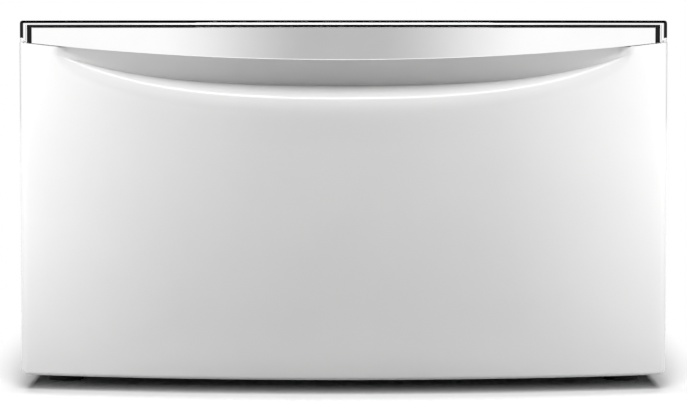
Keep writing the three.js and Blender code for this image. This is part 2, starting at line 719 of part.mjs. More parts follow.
// The lever that frees the drawer: it swings on a pin in the inner member's channel.
function releaseLever(side) {
  const y = SLIDE_FRONT_Y + LEVER_START;
  const web = SLIDE_THICK - SLIDE_SHEET;
  const face = web - FIT - LEVER_THICK;
  const height = LEVER_HEIGHT / 2;
  return toGeometry(join(
    box(
      [side * across(face), side * across(face + LEVER_THICK)],
      [y - LEVER_LENGTH, y],
      [SLIDE_Z - height, SLIDE_Z + height],
    ),
    lyingX(height + CAGE_GAP, side * across(face), side * across(web - FIT), y, SLIDE_Z),
    lyingX(LEVER_PIN / 2, side * across(face), side * across(SLIDE_THICK), y, SLIDE_Z),
  ));
}

function addSlides() {
  const outer = slideSection(0, OUTER_REACH, HALF_HEIGHT, SLIDE_SHEET);
  const mid = slideSection(MID_WEB, OUTER_REACH, MID_FLANGE, SLIDE_SHEET);
  const inner = slideSection(SLIDE_THICK, INNER_TIP, INNER_FLANGE, SLIDE_SHEET);
  for (const [name, side] of SIDES) {
    const pinY = SLIDE_FRONT_Y + LEVER_START;
    const pinHole = lyingX(
      LEVER_PIN / 2 + FIT,
      side * across(SLIDE_THICK + SLIDE_SHEET),
      side * across(SLIDE_THICK - 2 * SLIDE_SHEET),
      pinY,
      SLIDE_Z,
    );
    add(`slide_outer_${name}`, slideMember(outer, side), steel);
    add(`slide_mid_${name}`, slideMember(mid, side), steel);
    const innerMember = cut(join(slideMember(inner, side)), pinHole);
    add(`slide_inner_${name}`, toGeometry(innerMember), steel);
    add(`ball_cage_outer_${name}`, ballCage(OUTER_CAGE, OUTER_BALL_X, OUTER_BALL_Z, side), steel);
    add(`ball_cage_inner_${name}`, ballCage(INNER_CAGE, INNER_BALL_X, INNER_BALL_Z, side), steel);
    add(`release_lever_${name}`, releaseLever(side), plastic);
  }
}

// Hat section between a side panel and the back of its slide.
function addSlideBrackets() {
  const hat = BRACKET_HAT / 2;
  const foot = SIDE_INNER - BRACKET_SHEET;
  const section = [
    [SIDE_INNER, hat + BRACKET_FLANGE],
    [foot, hat + BRACKET_FLANGE],
    [foot, hat],
    [SLIDE_BACK, hat],
    [SLIDE_BACK, -hat],
    [foot, -hat],
    [foot, -hat - BRACKET_FLANGE],
    [SIDE_INNER, -hat - BRACKET_FLANGE],
    [SIDE_INNER, BRACKET_SHEET - hat],
    [SLIDE_BACK + BRACKET_SHEET, BRACKET_SHEET - hat],
    [SLIDE_BACK + BRACKET_SHEET, hat - BRACKET_SHEET],
    [SIDE_INNER, hat - BRACKET_SHEET],
  ].map(([x, z]) => [x, z + SLIDE_Z]);
  for (const [name, side] of SIDES) {
    const end = SLIDE_FRONT_Y + BRACKET_LENGTH;
    add(`slide_bracket_${name}`, alongY(mirrored(section, side), SLIDE_FRONT_Y, end), zinc);
  }
}

// ---------------------------------------------------------------- levelling feet

function addCornerBrackets() {
  const under = CABINET_BOTTOM;
  const plate = under + BRACKET_PLATE;
  const web = SIDE_INNER - BRACKET_PLATE;
  const section = [
    [SIDE_INNER, under],
    [SIDE_INNER, under + BRACKET_RISE],
    [web, under + BRACKET_RISE],
    [web, plate],
    [SIDE_INNER - BRACKET_WIDTH, plate],
    [SIDE_INNER - BRACKET_WIDTH, under],
  ];
  const length = FOOT_INSET_Y + BRACKET_REACH;
  const runs = {
    front: [RAIL_FRONT_Y, RAIL_FRONT_Y + length],
    rear: [RAIL_REAR_Y - length, RAIL_REAR_Y],
  };
  for (const [name, side] of SIDES) {
    for (const [end, y] of ENDS) {
      const hole = upright(STUD_RADIUS + 2 * FIT, under - FIT, plate + FIT, side * STUD_X, y);
      const solid = cut(join(alongY(mirrored(section, side), ...runs[end])), hole);
      add(`corner_bracket_${end}_${name}`, toGeometry(solid), zinc);
    }
  }
}

function nut(x, y, z0, z1) {
  const bore = upright(STUD_RADIUS + FIT, z0 - FIT, z1 + FIT, x, y);
  return toGeometry(cut(join(hexagon(NUT_HEX, z0, z1, x, y)), bore));
}

function addFeet() {
  const plate = CABINET_BOTTOM + BRACKET_PLATE;
  const hexBottom = PAD_HEIGHT + FIT;
  const hexTop = hexBottom + STUD_HEX_HEIGHT;
  const socketFloor = PAD_HEIGHT - SOCKET_DEPTH;
  for (const [name, side] of SIDES) {
    for (const [end, y] of ENDS) {
      const x = side * STUD_X;
      const label = `${end}_${name}`;
      const socket = upright(SOCKET_RADIUS, socketFloor, PAD_HEIGHT + FIT, x, y);
      const pad = cut(join(upright(PAD_RADIUS, 0, PAD_HEIGHT, x, y)), socket);
      const stud = join(
        upright(SOCKET_RADIUS - FIT, socketFloor + FIT, hexBottom + FINE, x, y),
        hexagon(STUD_HEX, hexBottom, hexTop, x, y),
        upright(STUD_RADIUS, hexTop - FINE, hexTop + STUD_LENGTH, x, y),
      );
      const lockTop = CABINET_BOTTOM;
      add(`foot_pad_${label}`, toGeometry(pad), rubber);
      add(`foot_stud_${label}`, toGeometry(stud), steel);
      add(`lock_nut_${label}`, nut(x, y, lockTop - LOCK_NUT_HEIGHT, lockTop), steel);
      add(`weld_nut_${label}`, nut(x, y, plate, plate + WELD_NUT_HEIGHT), steel);
    }
  }
}

// ---------------------------------------------------------------- the whole pedestal

addSidePanels();
addRearPanel();
addDeck();
addRails();
addCornerBrackets();
addFeet();
addBumpers();
addSlideBrackets();
addSlides();
addFront();
addInnerPanel();
addDrawerWalls();
addDrawerFloorAndBack();
addDivider();
addScrews();

export default model;
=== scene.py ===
import json
import math

import bmesh
import bpy
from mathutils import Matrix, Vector


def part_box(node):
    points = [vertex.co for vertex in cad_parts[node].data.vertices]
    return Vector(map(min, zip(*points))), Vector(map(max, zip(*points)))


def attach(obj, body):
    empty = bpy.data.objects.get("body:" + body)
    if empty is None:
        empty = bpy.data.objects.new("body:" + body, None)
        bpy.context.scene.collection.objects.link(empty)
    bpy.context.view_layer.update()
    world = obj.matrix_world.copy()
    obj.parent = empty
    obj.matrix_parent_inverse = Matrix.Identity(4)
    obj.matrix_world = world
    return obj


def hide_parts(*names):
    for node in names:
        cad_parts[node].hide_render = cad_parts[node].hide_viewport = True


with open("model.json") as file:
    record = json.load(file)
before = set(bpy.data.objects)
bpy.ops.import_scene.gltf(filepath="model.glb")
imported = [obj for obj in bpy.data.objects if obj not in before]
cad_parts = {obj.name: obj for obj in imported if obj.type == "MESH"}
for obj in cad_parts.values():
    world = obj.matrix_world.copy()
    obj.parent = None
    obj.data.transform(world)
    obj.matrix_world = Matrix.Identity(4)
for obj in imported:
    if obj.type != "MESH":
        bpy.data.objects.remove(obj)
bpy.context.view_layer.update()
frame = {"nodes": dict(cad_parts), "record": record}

# Laundry pedestal: a low enamelled cabinet with one full-width bowed drawer.
# Metres. X runs to the right, Y to the back, Z up; the front faces -Y.

# ---- sizes

MM = 0.001
SHEET = 1.2 * MM
FIT = 0.3 * MM
BEND = 1.6 * MM  # inner radius of a bend in thin sheet
MERGE = 0.02 * MM  # grid lines closer than this become one

# Drawer front
BOW = 50 * MM
FRONT_CORNER = 7 * MM
FRONT_WALL = 3 * MM
FRONT_FOOT_ROUND = 3.5 * MM
FRONT_LOW_CORNER = 8 * MM  # radius of the two lower corners, seen from ahead
PANEL_INSET = 1.5 * MM  # inner panel's edge, inside the front's outline
FRONT_TOP_ROUND = 10 * MM  # of its upper corners, behind the trim's
RECESS_DEPTH = 33 * MM
RECESS_HALF = 303 * MM
RECESS_FALL = 0.7  # how fullness falls off to the recess's ends
RECESS_END_DEPTH = 5.2 * MM
RIDGE_DROP = 81.3 * MM  # the lip's bright ridge, below the top of the trim, in the middle
RIDGE_CLIMB = (26.4 * MM, 42.1 * MM)  # its rise to the ends, by the square and the fourth power
RIDGE_SLOPE = math.tan(math.radians(37))  # the ridge is where the lip leans back this far
LIP_CURL = 35 * MM
LIP_END_CURL = 18 * MM
LIP_END_GAP = 0.6 * MM
LIP_END_ROUND = 1.2 * MM
FINGER_POCKET = 10 * MM
FILLET = 5 * MM
FILLET_END = 0.4 * MM  # what is left of the fillet at the recess's ends
SHELF_ROUND = 1.5 * MM
FRONT_STEP = 4 * MM  # of the mesh along the front and the trim
CORNER_STEPS, FOOT_STEPS, FACE_STEPS, LIP_STEPS = 10, 8, 10, 22  # of its section's mesh

# Handle trim
TRIM_HEIGHT = 41.2 * MM
TRIM_END_HEIGHT = 22.5 * MM
TRIM_THICK = 4 * MM
TRIM_TOP_THICK = 3 * MM
TRIM_TOP_DEPTH = 8 * MM
TRIM_TOP_CORNER = 3.6 * MM
TRIM_LOW_CHAMFER = (6.8 * MM, 4 * MM)  # width and height, at both lower corners
TRIM_EDGE = 0.4 * MM
BEAD = 4.8 * MM  # width of the raised bead along the top
BEAD_BEVEL = 2.6 * MM  # its upper, backward-leaning part
BEAD_BEVEL_DEPTH = 2.6 * MM
BEAD_BEVEL_POWER = 1.15
BEAD_UNDERCUT = 1.3 * MM
GROOVE = 2.3 * MM  # dark line between the bead and the face
GROOVE_DEPTH = 2.4 * MM
FACE_SINK = 0.9 * MM  # face of the trim, behind the bead
FACE_EDGE = 0.8 * MM
END_BEAD = 8.6 * MM  # width of the bead round the trim's ends
END_GROOVE = 4.7 * MM
END_FACE_EDGE = 1.4 * MM
BEVEL_STEP, BEAD_STEP, FACE_EDGE_STEP = 0.35 * MM, 0.3 * MM, 0.16 * MM
GROOVE_WALL = 0.01 * MM  # width over which the groove's upright walls are drawn
TRIM_ROWS, TRIM_EDGE_ROWS = 24, 4

# Deck
WELL_RADIUS = 32 * MM
WELL_SLOPE = 5 * MM
WELL_DEPTH = 4 * MM
WELL_SPACING = (540 * MM, 480 * MM)
TROUGH_LENGTH = 380 * MM
TROUGH_WIDTH = 36 * MM
TROUGH_SPACING = 200 * MM
TROUGH_SLOPE = (-3 * MM, 1 * MM)  # from inside to outside its outline

# Threads and nuts
THREAD_PITCH = 25.4 / 16 * MM
THREAD_DEPTH = 0.75 * MM
THREAD_END = 1.2 * MM  # length over which a stud's end is turned off
NUT_CHAMFER = 1.1 * MM
NUT_FACE = 0.95  # of the width across flats
NUT_FLARE = 0.6 * MM  # at both mouths of the bore
BALL = 3.6 * MM

# ---- places from the frame

front_low, front_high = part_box("drawer_front")
trim_low, trim_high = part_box("handle_trim")
deck_low, deck_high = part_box("top_deck")
HALF = trim_high.x
TOP = trim_high.z
FRONT_Y = trim_low.y
SIDES = (("left", -1), ("right", 1))
ENDS = ("front", "rear")
record = frame["record"]
BODY_OF = {
    node: body for body, nodes in record["behaviour"]["bodies"].items() for node in nodes
}
SLOT_OF = {part["node"]: part["material_slot"] for part in record["subparts"]}

# ---- materials


class Nodes:
    """A material's or the world's node tree, built one node at a time."""

    def __init__(self, owner):
        owner.use_nodes = True
        self.owner, self.tree = owner, owner.node_tree
        self.tree.nodes.clear()

    def add(self, kind, sockets=None, **settings):
        node = self.tree.nodes.new("ShaderNode" + kind)
        for name, value in settings.items():
            setattr(node, name, value)
        for name, value in (sockets or {}).items():
            if isinstance(value, bpy.types.NodeSocket):
                self.tree.links.new(value, node.inputs[name])
            else:
                node.inputs[name].default_value = value
        return node

    def math(self, operation, first, second=0.0):
        return self.add("Math", {0: first, 1: second}, operation=operation).outputs[0]

    def smooth(self, value, low, high, start=0.0, end=1.0):
        sockets = {"Value": value, 1: low, 2: high, 3: start, 4: end}
        node = self.add("MapRange", sockets, interpolation_type="SMOOTHSTEP")
        return node.outputs["Result"]

    def unstruck(self, rays):
        """1 for a ray that has struck nothing dull yet, else 0."""
        struck = self.math("MINIMUM", rays.outputs["Diffuse Depth"], 1.0)
        return self.math("SUBTRACT", 1.0, struck)

    def where(self, stretch=(1, 1, 1)):
        place = self.add("TexCoord").outputs["Object"]
        return self.add("Mapping", {"Vector": place, "Scale": stretch}).outputs[0]

    def noise(self, scale, detail=3.0, stretch=(1, 1, 1)):
        sockets = {"Vector": self.where(stretch), "Scale": scale, "Detail": detail}
        return self.add("TexNoise", sockets).outputs["Fac"]

    def tint(self, pattern, start, end, low=0.3, high=0.7):
        """Two colours, mixed where the pattern lies between low and high."""
        node = self.add("ValToRGB", {"Fac": pattern})
        for element, place, color in zip(node.color_ramp.elements, (low, high), (start, end)):
            element.position = place
            element.color = (*color, 1)
        return node.outputs["Color"]

    def gloss(self, pattern, start, end, low=0.3, high=0.7):
        """A roughness that varies with the pattern."""
        return self.smooth(pattern, low, high, start, end)

    def relief(self, pattern, height, strength):
        sockets = {"Height": pattern, "Distance": height, "Strength": strength}
        return self.add("Bump", sockets).outputs["Normal"]

    def surface(self, color, roughness, normal, others=()):
        sockets = {"Base Color": color, "Roughness": roughness, "Normal": normal, **dict(others)}
        shader = self.add("BsdfPrincipled", sockets)
        self.add("OutputMaterial", {"Surface": shader.outputs[0]})
        return self.owner


def new_nodes(name):
    return Nodes(bpy.data.materials.new(name))


def make_enamel():
    """Sprayed white enamel: nearly even, with a fine orange peel under a gloss."""
    tree = new_nodes("enamel")
    return tree.surface(
        tree.tint(tree.noise(9), (0.86, 0.862, 0.86), (0.89, 0.89, 0.886)),
        tree.gloss(tree.noise(60), 0.2, 0.26),
        tree.relief(tree.noise(420, 2), 0.00005, 0.25),
        {"Coat Weight": 1.0, "Coat Roughness": 0.05},
    )


def make_chrome():
    """Bright plating with faint polishing lines along its length."""
    tree = new_nodes("chrome")
    haze = tree.noise(30)
    return tree.surface(
        tree.tint(haze, (0.965, 0.965, 0.965), (0.985, 0.985, 0.985)),
        tree.gloss(haze, 0.035, 0.06),
        tree.relief(tree.noise(1, 2, (12, 900, 900)), 0.00001, 0.15),
        {"Metallic": 1.0},
    )


def make_zinc():
    """Hot-dip galvanised sheet with its spangle."""
    tree = new_nodes("zinc")
    where = tree.where()
    wander = tree.add("TexNoise", {"Vector": where, "Scale": 60.0, "Detail": 2.0}).outputs["Color"]
    shift = tree.add("VectorMath", {0: wander, "Scale": 0.006}, operation="SCALE").outputs[0]
    moved = tree.add("VectorMath", {0: where, 1: shift}, operation="ADD").outputs[0]
    cells = tree.add("TexVoronoi", {"Vector": moved, "Scale": 130.0})
    grain = tree.add("SeparateColor", {"Color": cells.outputs["Color"]}).outputs[0]
    return tree.surface(
        tree.tint(grain, (0.50, 0.52, 0.53), (0.68, 0.70, 0.71), 0.0, 1.0),
        tree.gloss(grain, 0.34, 0.5, 0.0, 1.0),
        tree.relief(grain, 0.00004, 0.3),
        {"Metallic": 0.85},
    )


def make_steel():
    """Bright-plated rolled steel, with its rolling lines."""
    tree = new_nodes("steel")
    lines = tree.noise(1, 3, (1400, 20, 1400))
    return tree.surface(
        tree.tint(tree.noise(45), (0.55, 0.56, 0.57), (0.66, 0.67, 0.68)),
        tree.gloss(lines, 0.24, 0.36),
        tree.relief(lines, 0.00002, 0.25),
        {"Metallic": 0.95},
    )


def make_rubber():
    """Matt black rubber with a faint bloom."""
    tree = new_nodes("rubber")
    bloom = tree.noise(70, 4)
    return tree.surface(
        tree.tint(bloom, (0.017, 0.017, 0.018), (0.04, 0.04, 0.042), 0.3, 0.75),
        tree.gloss(bloom, 0.7, 0.88),
        tree.relief(tree.noise(1500, 2), 0.0001, 0.4),
    )


def make_plastic():
    """Dark moulded plastic with a fine spark-eroded grain."""
    tree = new_nodes("plastic")
    grain = tree.noise(2200, 2)
    return tree.surface(
        tree.tint(tree.noise(80), (0.032, 0.035, 0.038), (0.045, 0.048, 0.052)),
        tree.gloss(grain, 0.42, 0.56),
        tree.relief(grain, 0.00008, 0.35),
    )


def make_groove_shade_paint():
    """Satin black paint in the trim's groove: painted shade, standing in for the groove's shadow and
    dark reflection.
    """
    tree = new_nodes("groove_shade_paint")
    grain = tree.noise(900, 2)
    return tree.surface(
        tree.tint(grain, (0.004, 0.004, 0.004), (0.009, 0.009, 0.009)),
        tree.gloss(grain, 0.5, 0.65),
        tree.relief(grain, 0.00003, 0.2),
        {"Specular IOR Level": 0.2},
    )


MATERIALS = {
    "enamel": make_enamel(),
    "chrome": make_chrome(),
    "zinc": make_zinc(),
    "steel": make_steel(),
    "rubber": make_rubber(),
    "plastic": make_plastic(),
}

# ---- shape helpers
# A shape is a pair: its points, and its faces as tuples of point numbers.


def to_mesh(name, shapes, sharp=30):
    """A smooth mesh, with sharp edges where its faces meet at more than that angle."""
    points, faces = [], []
    for more, skin in shapes:
        start = len(points)
        points += more
        faces += [[start + i for i in face] for face in skin]
    mesh = bpy.data.meshes.new(name)
    mesh.from_pydata(points, [], faces)
    bm = bmesh.new()
    bm.from_mesh(mesh)
    bmesh.ops.remove_doubles(bm, verts=bm.verts, dist=1e-6)
    bmesh.ops.recalc_face_normals(bm, faces=bm.faces)
    for face in bm.faces:
        face.smooth = True
    for edge in bm.edges:
        edge.smooth = edge.calc_face_angle(0) < math.radians(sharp)
    bm.to_mesh(mesh)
    bm.free()
    return mesh


def placed(name, data):
    """A new object in the scene."""
    thing = bpy.data.objects.new(name, data)
    bpy.context.scene.collection.objects.link(thing)
    return thing


def cut(shapes, tools):
    """The shapes with the tools taken out of them."""
    body = placed("body", to_mesh("body", shapes))
    tool = placed("tool", to_mesh("tool", tools))
    modifier = body.modifiers.new("cut", "BOOLEAN")
    modifier.operation = "DIFFERENCE"
    modifier.solver = "EXACT"
    modifier.object = tool
    result = body.evaluated_get(bpy.context.evaluated_depsgraph_get()).to_mesh()
    points = [v.co.copy() for v in result.vertices]
    faces = [tuple(p.vertices) for p in result.polygons]
    for spare in (body, tool):
        bpy.data.objects.remove(spare)
    return points, faces


def dress(node, *shapes, sharp=30):
    """The visible piece that stands for a CAD node, on its body and in its slot."""
    mesh = to_mesh(node + "_form", shapes, sharp)
    mesh.materials.append(MATERIALS[SLOT_OF[node]])
    piece = placed(node + "_form", mesh)
    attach(piece, BODY_OF[node])
    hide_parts(node)
    return piece


def quads(wide, tall, start=0):
    """The faces of a grid of points that come row after row."""
    firsts = (start + row * wide + i for row in range(tall - 1) for i in range(wide - 1))
    return [(a, a + 1, a + wide + 1, a + wide) for a in firsts]


def strip(border, shift):
    """Faces between a closed line of points and the same line further on in the list."""
    return [(a, b, b + shift, a + shift) for a, b in zip(border, border[1:] + border[:1])]


def rings(loops, caps=True):
    """Skin over closed loops that have equal numbers of points."""
    count = len(loops[0])
    points = [p for loop in loops for p in loop]
    faces = []
    for start in range(0, len(points) - count, count):
        faces += strip(list(range(start, start + count)), count)
    if caps:
        faces.append(tuple(range(count)))
        faces.append(tuple(range(len(points) - count, len(points))))
    return points, faces


def turned(v, angle):
    c, s = math.cos(angle), math.sin(angle)
    return Vector((c * v.x - s * v.y, s * v.x + c * v.y))


def across(v):
    return turned(v, math.pi / 2)


def fold(path, thickness=SHEET, radius=BEND, steps=5):
    """Closed outline of a bent sheet whose middle line follows path."""
    path = [Vector(p) for p in path]
    ways = [(after - before).normalized() for before, after in zip(path, path[1:])]
    middle = [(path[0], across(ways[0]))]
    bend = radius + thickness / 2
    for corner, start, end in zip(path[1:], ways, ways[1:]):
        turn = math.atan2(start.x * end.y - start.y * end.x, start.dot(end))
        side = math.copysign(bend, turn)
        centre = corner - start * abs(math.tan(turn / 2)) * bend + across(start) * side
        for k in range(steps + 1):
            aside = across(turned(start, turn * k / steps))
            middle.append((centre - aside * side, aside))
    middle.append((path[-1], across(ways[-1])))
    half = thickness / 2
    left = [place + aside * half for place, aside in middle]
    return left + [place - aside * half for place, aside in reversed(middle)]


def channel(web, tips, low, high, sheet=SHEET, bend=BEND, steps=5):
    """Outline of a sheet bent into a U: its web's middle, its two tips and its outer faces."""
    low, high = low + sheet / 2, high - sheet / 2
    return fold([(tips[0], low), (web, low), (web, high), (tips[1], high)], sheet, bend, steps)


def reach(low, high):
    """The distances of a side piece's two faces from the middle, the nearer first."""
    return sorted((abs(low.x), abs(high.x)))


def on_axis(axis, a, b, along):
    """A point at a place along an axis; a and b are its other two numbers, in order."""
    numbers = [a, b]
    numbers.insert("XYZ".index(axis), along)
    return Vector(numbers)


def run(outline, start, end, axis, side=1):
    """An outline carried along an axis, mirrored where side is -1."""
    flip = Vector((side, 1, 1))
    return rings([[on_axis(axis, *p, along) * flip for p in outline] for along in (start, end)])


def block(low, high, radius=0.0, steps=1):
    """A box, with rounded edges where a radius is given."""
    bm = bmesh.new()
    bmesh.ops.create_cube(bm, size=1)
    low, high = Vector(map(min, low, high)), Vector(map(max, low, high))
    for vert in bm.verts:
        vert.co = Vector(low[i] + (vert.co[i] + 0.5) * (high[i] - low[i]) for i in range(3))
    if radius:
        bmesh.ops.bevel(
            bm, geom=bm.edges[:], offset=radius, segments=steps, affect="EDGES", profile=0.5
        )
    bm.verts.index_update()
    shape = [v.co.copy() for v in bm.verts], [tuple(v.index for v in f.verts) for f in bm.faces]
    bm.free()
    return shape


def full_turn(segments):
    return [2 * math.pi * i / segments for i in range(segments)]


def around(centre, radius, turn, z):
    return Vector((centre[0] + radius * math.cos(turn), centre[1] + radius * math.sin(turn), z))


def lathe(profile, centre, axis="Z", segments=32):
    """Solid of revolution from (radius, height) pairs, heights as places on the axis.

    The first and the last point lie on the axis.
    """
    a, b = (number for name, number in zip("XYZ", centre) if name != axis)
    circle = [(math.cos(turn), math.sin(turn)) for turn in full_turn(segments)]
    loops = [[on_axis(axis, a + r * c, b + r * s, h) for c, s in circle] for r, h in profile]
    return rings(loops, caps=False)


def arc(centre, radius, start, end, steps):
    """(a, b) points round an arc, angles in degrees."""
    turns = [math.radians(start + (end - start) * k / steps) for k in range(steps + 1)]
    return [(centre[0] + radius * math.cos(t), centre[1] + radius * math.sin(t)) for t in turns]


def ball(centre, radius):
    profile = arc((0, centre[2]), radius, -90, 90, 8)
    return lathe([(max(0.0, r), h) for r, h in profile], centre, segments=14)


def slot_outline(length, width, middle, steps=8):
    half = (length - width) / 2
    right = arc((middle[0] + half, middle[1]), width / 2, -90, 90, steps)
    return right + arc((middle[0] - half, middle[1]), width / 2, 90, 270, steps)


def mix(a, b, share):
    return a + (b - a) * share


def smoothstep(value, low, high):
    t = min(1.0, max(0.0, (value - low) / (high - low)))
    return t * t * (3 - 2 * t)


def round_off(radius, into):
    """How deep a round edge has cut in, at a place that lies that far into it."""
    return radius - math.sqrt(max(0.0, radius ** 2 - max(0.0, into) ** 2))


def spread(low, high, step):
    count = max(1, round((high - low) / step))
    return [mix(low, high, i / count) for i in range(count + 1)]


def band(middle, half, step):
    return middle - half, middle + half, step


def grid_lines(low, high, coarse, bands):
    """Grid lines from low to high, closer together in the (start, end, step) bands."""
    lines, here = [], low
    for start, end, step in sorted(bands):
        if start > here:
            lines += spread(here, start, coarse)
        lines += spread(max(start, here), end, step)
        here = end
    if high > here:
        lines += spread(here, high, coarse)
    return [v for i, v in enumerate(lines) if i == 0 or v - lines[i - 1] > MERGE]


def flat(x, y, z):
    return Vector((x, y, z))


def pressed(us, vs, top, under, place):
    """A sheet over a grid, between the surfaces top(u, v) and under(u, v)."""
    wide = len(us)
    upper = [place(u, v, top(u, v)) for v in vs for u in us]
    lower = [place(u, v, under(u, v)) for v in vs for u in us]
    start = len(upper)
    faces = quads(wide, len(vs))
    faces += [tuple(start + k for k in reversed(quad)) for quad in faces]
    last = (len(vs) - 1) * wide
    border = list(range(wide - 1)) + [wide - 1 + j * wide for j in range(len(vs) - 1)]
    border += [last + i for i in range(wide - 1, 0, -1)]
    border += [j * wide for j in range(len(vs) - 1, 0, -1)]
    return upper + lower, faces + strip(border, start)


# ---- drawer front


def front_y(x, inset):
    radius = (HALF ** 2 + BOW ** 2) / (2 * BOW)
    bow = FRONT_Y + radius - math.sqrt(radius ** 2 - x ** 2)
    return bow + inset + round_off(FRONT_CORNER - inset, abs(x) - (HALF - FRONT_CORNER))


def mirrored(half):
    """Places across the whole width, from those right of the middle."""
    return [-x for x in reversed(half)] + [0.0] + half


def front_stations(inset):
    straight = HALF - FRONT_CORNER
    half = spread(0, straight, FRONT_STEP)[1:]
    for k in range(1, CORNER_STEPS + 1):
        half.append(straight + (FRONT_CORNER - inset) * math.sin(math.pi / 2 * k / CORNER_STEPS))
    return mirrored(half)


def trim_edge(x):
    return TOP - TRIM_HEIGHT + (TRIM_HEIGHT - TRIM_END_HEIGHT) * (x / HALF) ** 2


def end_round(x, radius):
    """How far a corner of that radius has cut in at x, at either end of the front."""
    return round_off(radius, abs(x) - (HALF - radius))


def corner_arc(before, corner, after, radius):
    """Points of a rounded corner of an outline."""
    before, corner, after = Vector(before), Vector(corner), Vector(after)
    one, two = (before - corner), (after - corner)
    reach = min(radius, one.length * 0.45, two.length * 0.45)
    start, end = corner + one.normalized() * reach, corner + two.normalized() * reach
    shares = (0, 0.25, 0.5, 0.75, 1)
    return [start * (1 - t) ** 2 + corner * 2 * t * (1 - t) + end * t ** 2 for t in shares]


def front_section(x, inset):
    """Section of the front's skin at x, open at the back, from the bottom up."""
    back_y = front_high.y
    y = front_y(x, inset)
    skin = y - inset
    share = max(1e-4, 1 - (x / RECESS_HALF) ** 2) ** RECESS_FALL
    out = (x / HALF) ** 2
    ridge = TOP - RIDGE_DROP + RIDGE_CLIMB[0] * out + RIDGE_CLIMB[1] * out ** 2
    end_top = trim_edge(x) - LIP_END_GAP
    depth = RECESS_DEPTH * share
    height = mix(LIP_END_CURL, LIP_CURL, share)
    above = 1 - math.sin(math.atan(RIDGE_SLOPE * height / depth))
    top = min(ridge + above * height, end_top)
    bottom = top - height
    ceiling = trim_edge(x) + LIP_END_GAP + FINGER_POCKET * share
    foot = FRONT_FOOT_ROUND - inset
    base = front_low.z + end_round(x, FRONT_LOW_CORNER)
    points = [(back_y, base + inset)]
    points += arc((y + foot, base + FRONT_FOOT_ROUND), foot, 270, 180, FOOT_STEPS)
    points += [
        (y, mix(base + FRONT_FOOT_ROUND, bottom, k / FACE_STEPS)) for k in range(1, FACE_STEPS + 1)
    ]
    for k in range(1, LIP_STEPS):
        turn = math.pi / 2 * k / LIP_STEPS
        normal = Vector((-math.cos(turn) * height, math.sin(turn) * depth)).normalized()
        points.append((
            skin + depth * (1 - math.cos(turn)) - inset * normal.x,
            bottom + height * math.sin(turn) - inset * normal.y,
        ))
    wall = skin + max(depth, RECESS_END_DEPTH) + inset
    behind = skin + TRIM_THICK + FIT + inset
    crown = front_high.z - end_round(x, FRONT_TOP_ROUND) - inset
    corners = [
        points[-1], (skin + depth + inset, end_top - inset), (wall, end_top - inset),
        (wall, ceiling + inset), (behind, ceiling + inset), (behind, crown), (back_y, crown),
    ]
    fillet = FILLET * share + FILLET_END
    radii = (LIP_END_ROUND, LIP_END_ROUND, fillet, SHELF_ROUND, SHELF_ROUND)
    for k, radius in enumerate(radii):
        points += corner_arc(*corners[k:k + 3], radius)
    return points + [corners[-1]]


def front_shell():
    skins = [
        [[Vector((x, *p)) for p in front_section(x, inset)] for x in front_stations(inset)]
        for inset in (0.0, FRONT_WALL)
    ]
    count = len(skins[0][0])
    points, faces = [], []
    for skin in skins:
        start = len(points)
        points += [p for section in skin for p in section]
        faces += quads(count, len(skin), start)
        faces.append(tuple(range(start, start + count)))
        faces.append(tuple(range(len(points) - count, len(points))))
    rim = [j * count for j in range(len(skins[0]))]
    rim += [j * count + count - 1 for j in range(len(skins[0]) - 1, -1, -1)]
    return points, faces + strip(rim, len(points) // 2)


# ---- handle trim


def bead_profile(s):
    """Depth of the trim's face behind its foremost line, at s from the trim's outline."""
    if s < BEAD_BEVEL:
        lean = 1 - s / BEAD_BEVEL
        return BEAD_BEVEL_DEPTH * lean ** BEAD_BEVEL_POWER
    if s < BEAD:
        return BEAD_UNDERCUT * round_off(1, (s - BEAD_BEVEL) / (BEAD - BEAD_BEVEL))
    if s < BEAD + GROOVE:
        return GROOVE_DEPTH
    return FACE_SINK + FACE_EDGE * round_off(1, 1 - (s - BEAD - GROOVE) / FACE_EDGE)


def bead_rows():
    """Distances from the outline at which the bead, groove and face edge are drawn."""
    start = BEAD + GROOVE
    rows = spread(0, BEAD_BEVEL, BEVEL_STEP) + spread(BEAD_BEVEL, BEAD, BEAD_STEP)[1:]
    rows += [BEAD + GROOVE_WALL, start - GROOVE_WALL]
    return rows + spread(start, start + FACE_EDGE, FACE_EDGE_STEP)


TOP_KNOTS = (0, BEAD, BEAD + GROOVE, BEAD + GROOVE + FACE_EDGE, 1)
END_KNOTS = (0, END_BEAD, END_BEAD + END_GROOVE, END_BEAD + END_GROOVE + END_FACE_EDGE, 1)


def matched(value, knots, others):
    """Where value, a place between the knots, falls between the other knots."""
    k = max(i for i in range(len(knots) - 1) if knots[i] <= max(value, 0))
    return mix(others[k], others[k + 1], (value - knots[k]) / (knots[k + 1] - knots[k]))


def trim_outline_distance(x, drop, height):
    """How far inside its bead's outline a point of the trim lies."""
    end = HALF - abs(x)
    wide, tall = TRIM_LOW_CHAMFER
    low = height - drop - tall * (1 - end / wide) if end < wide else height
    return min(drop, matched(end, END_KNOTS, TOP_KNOTS), max(0.0, low))


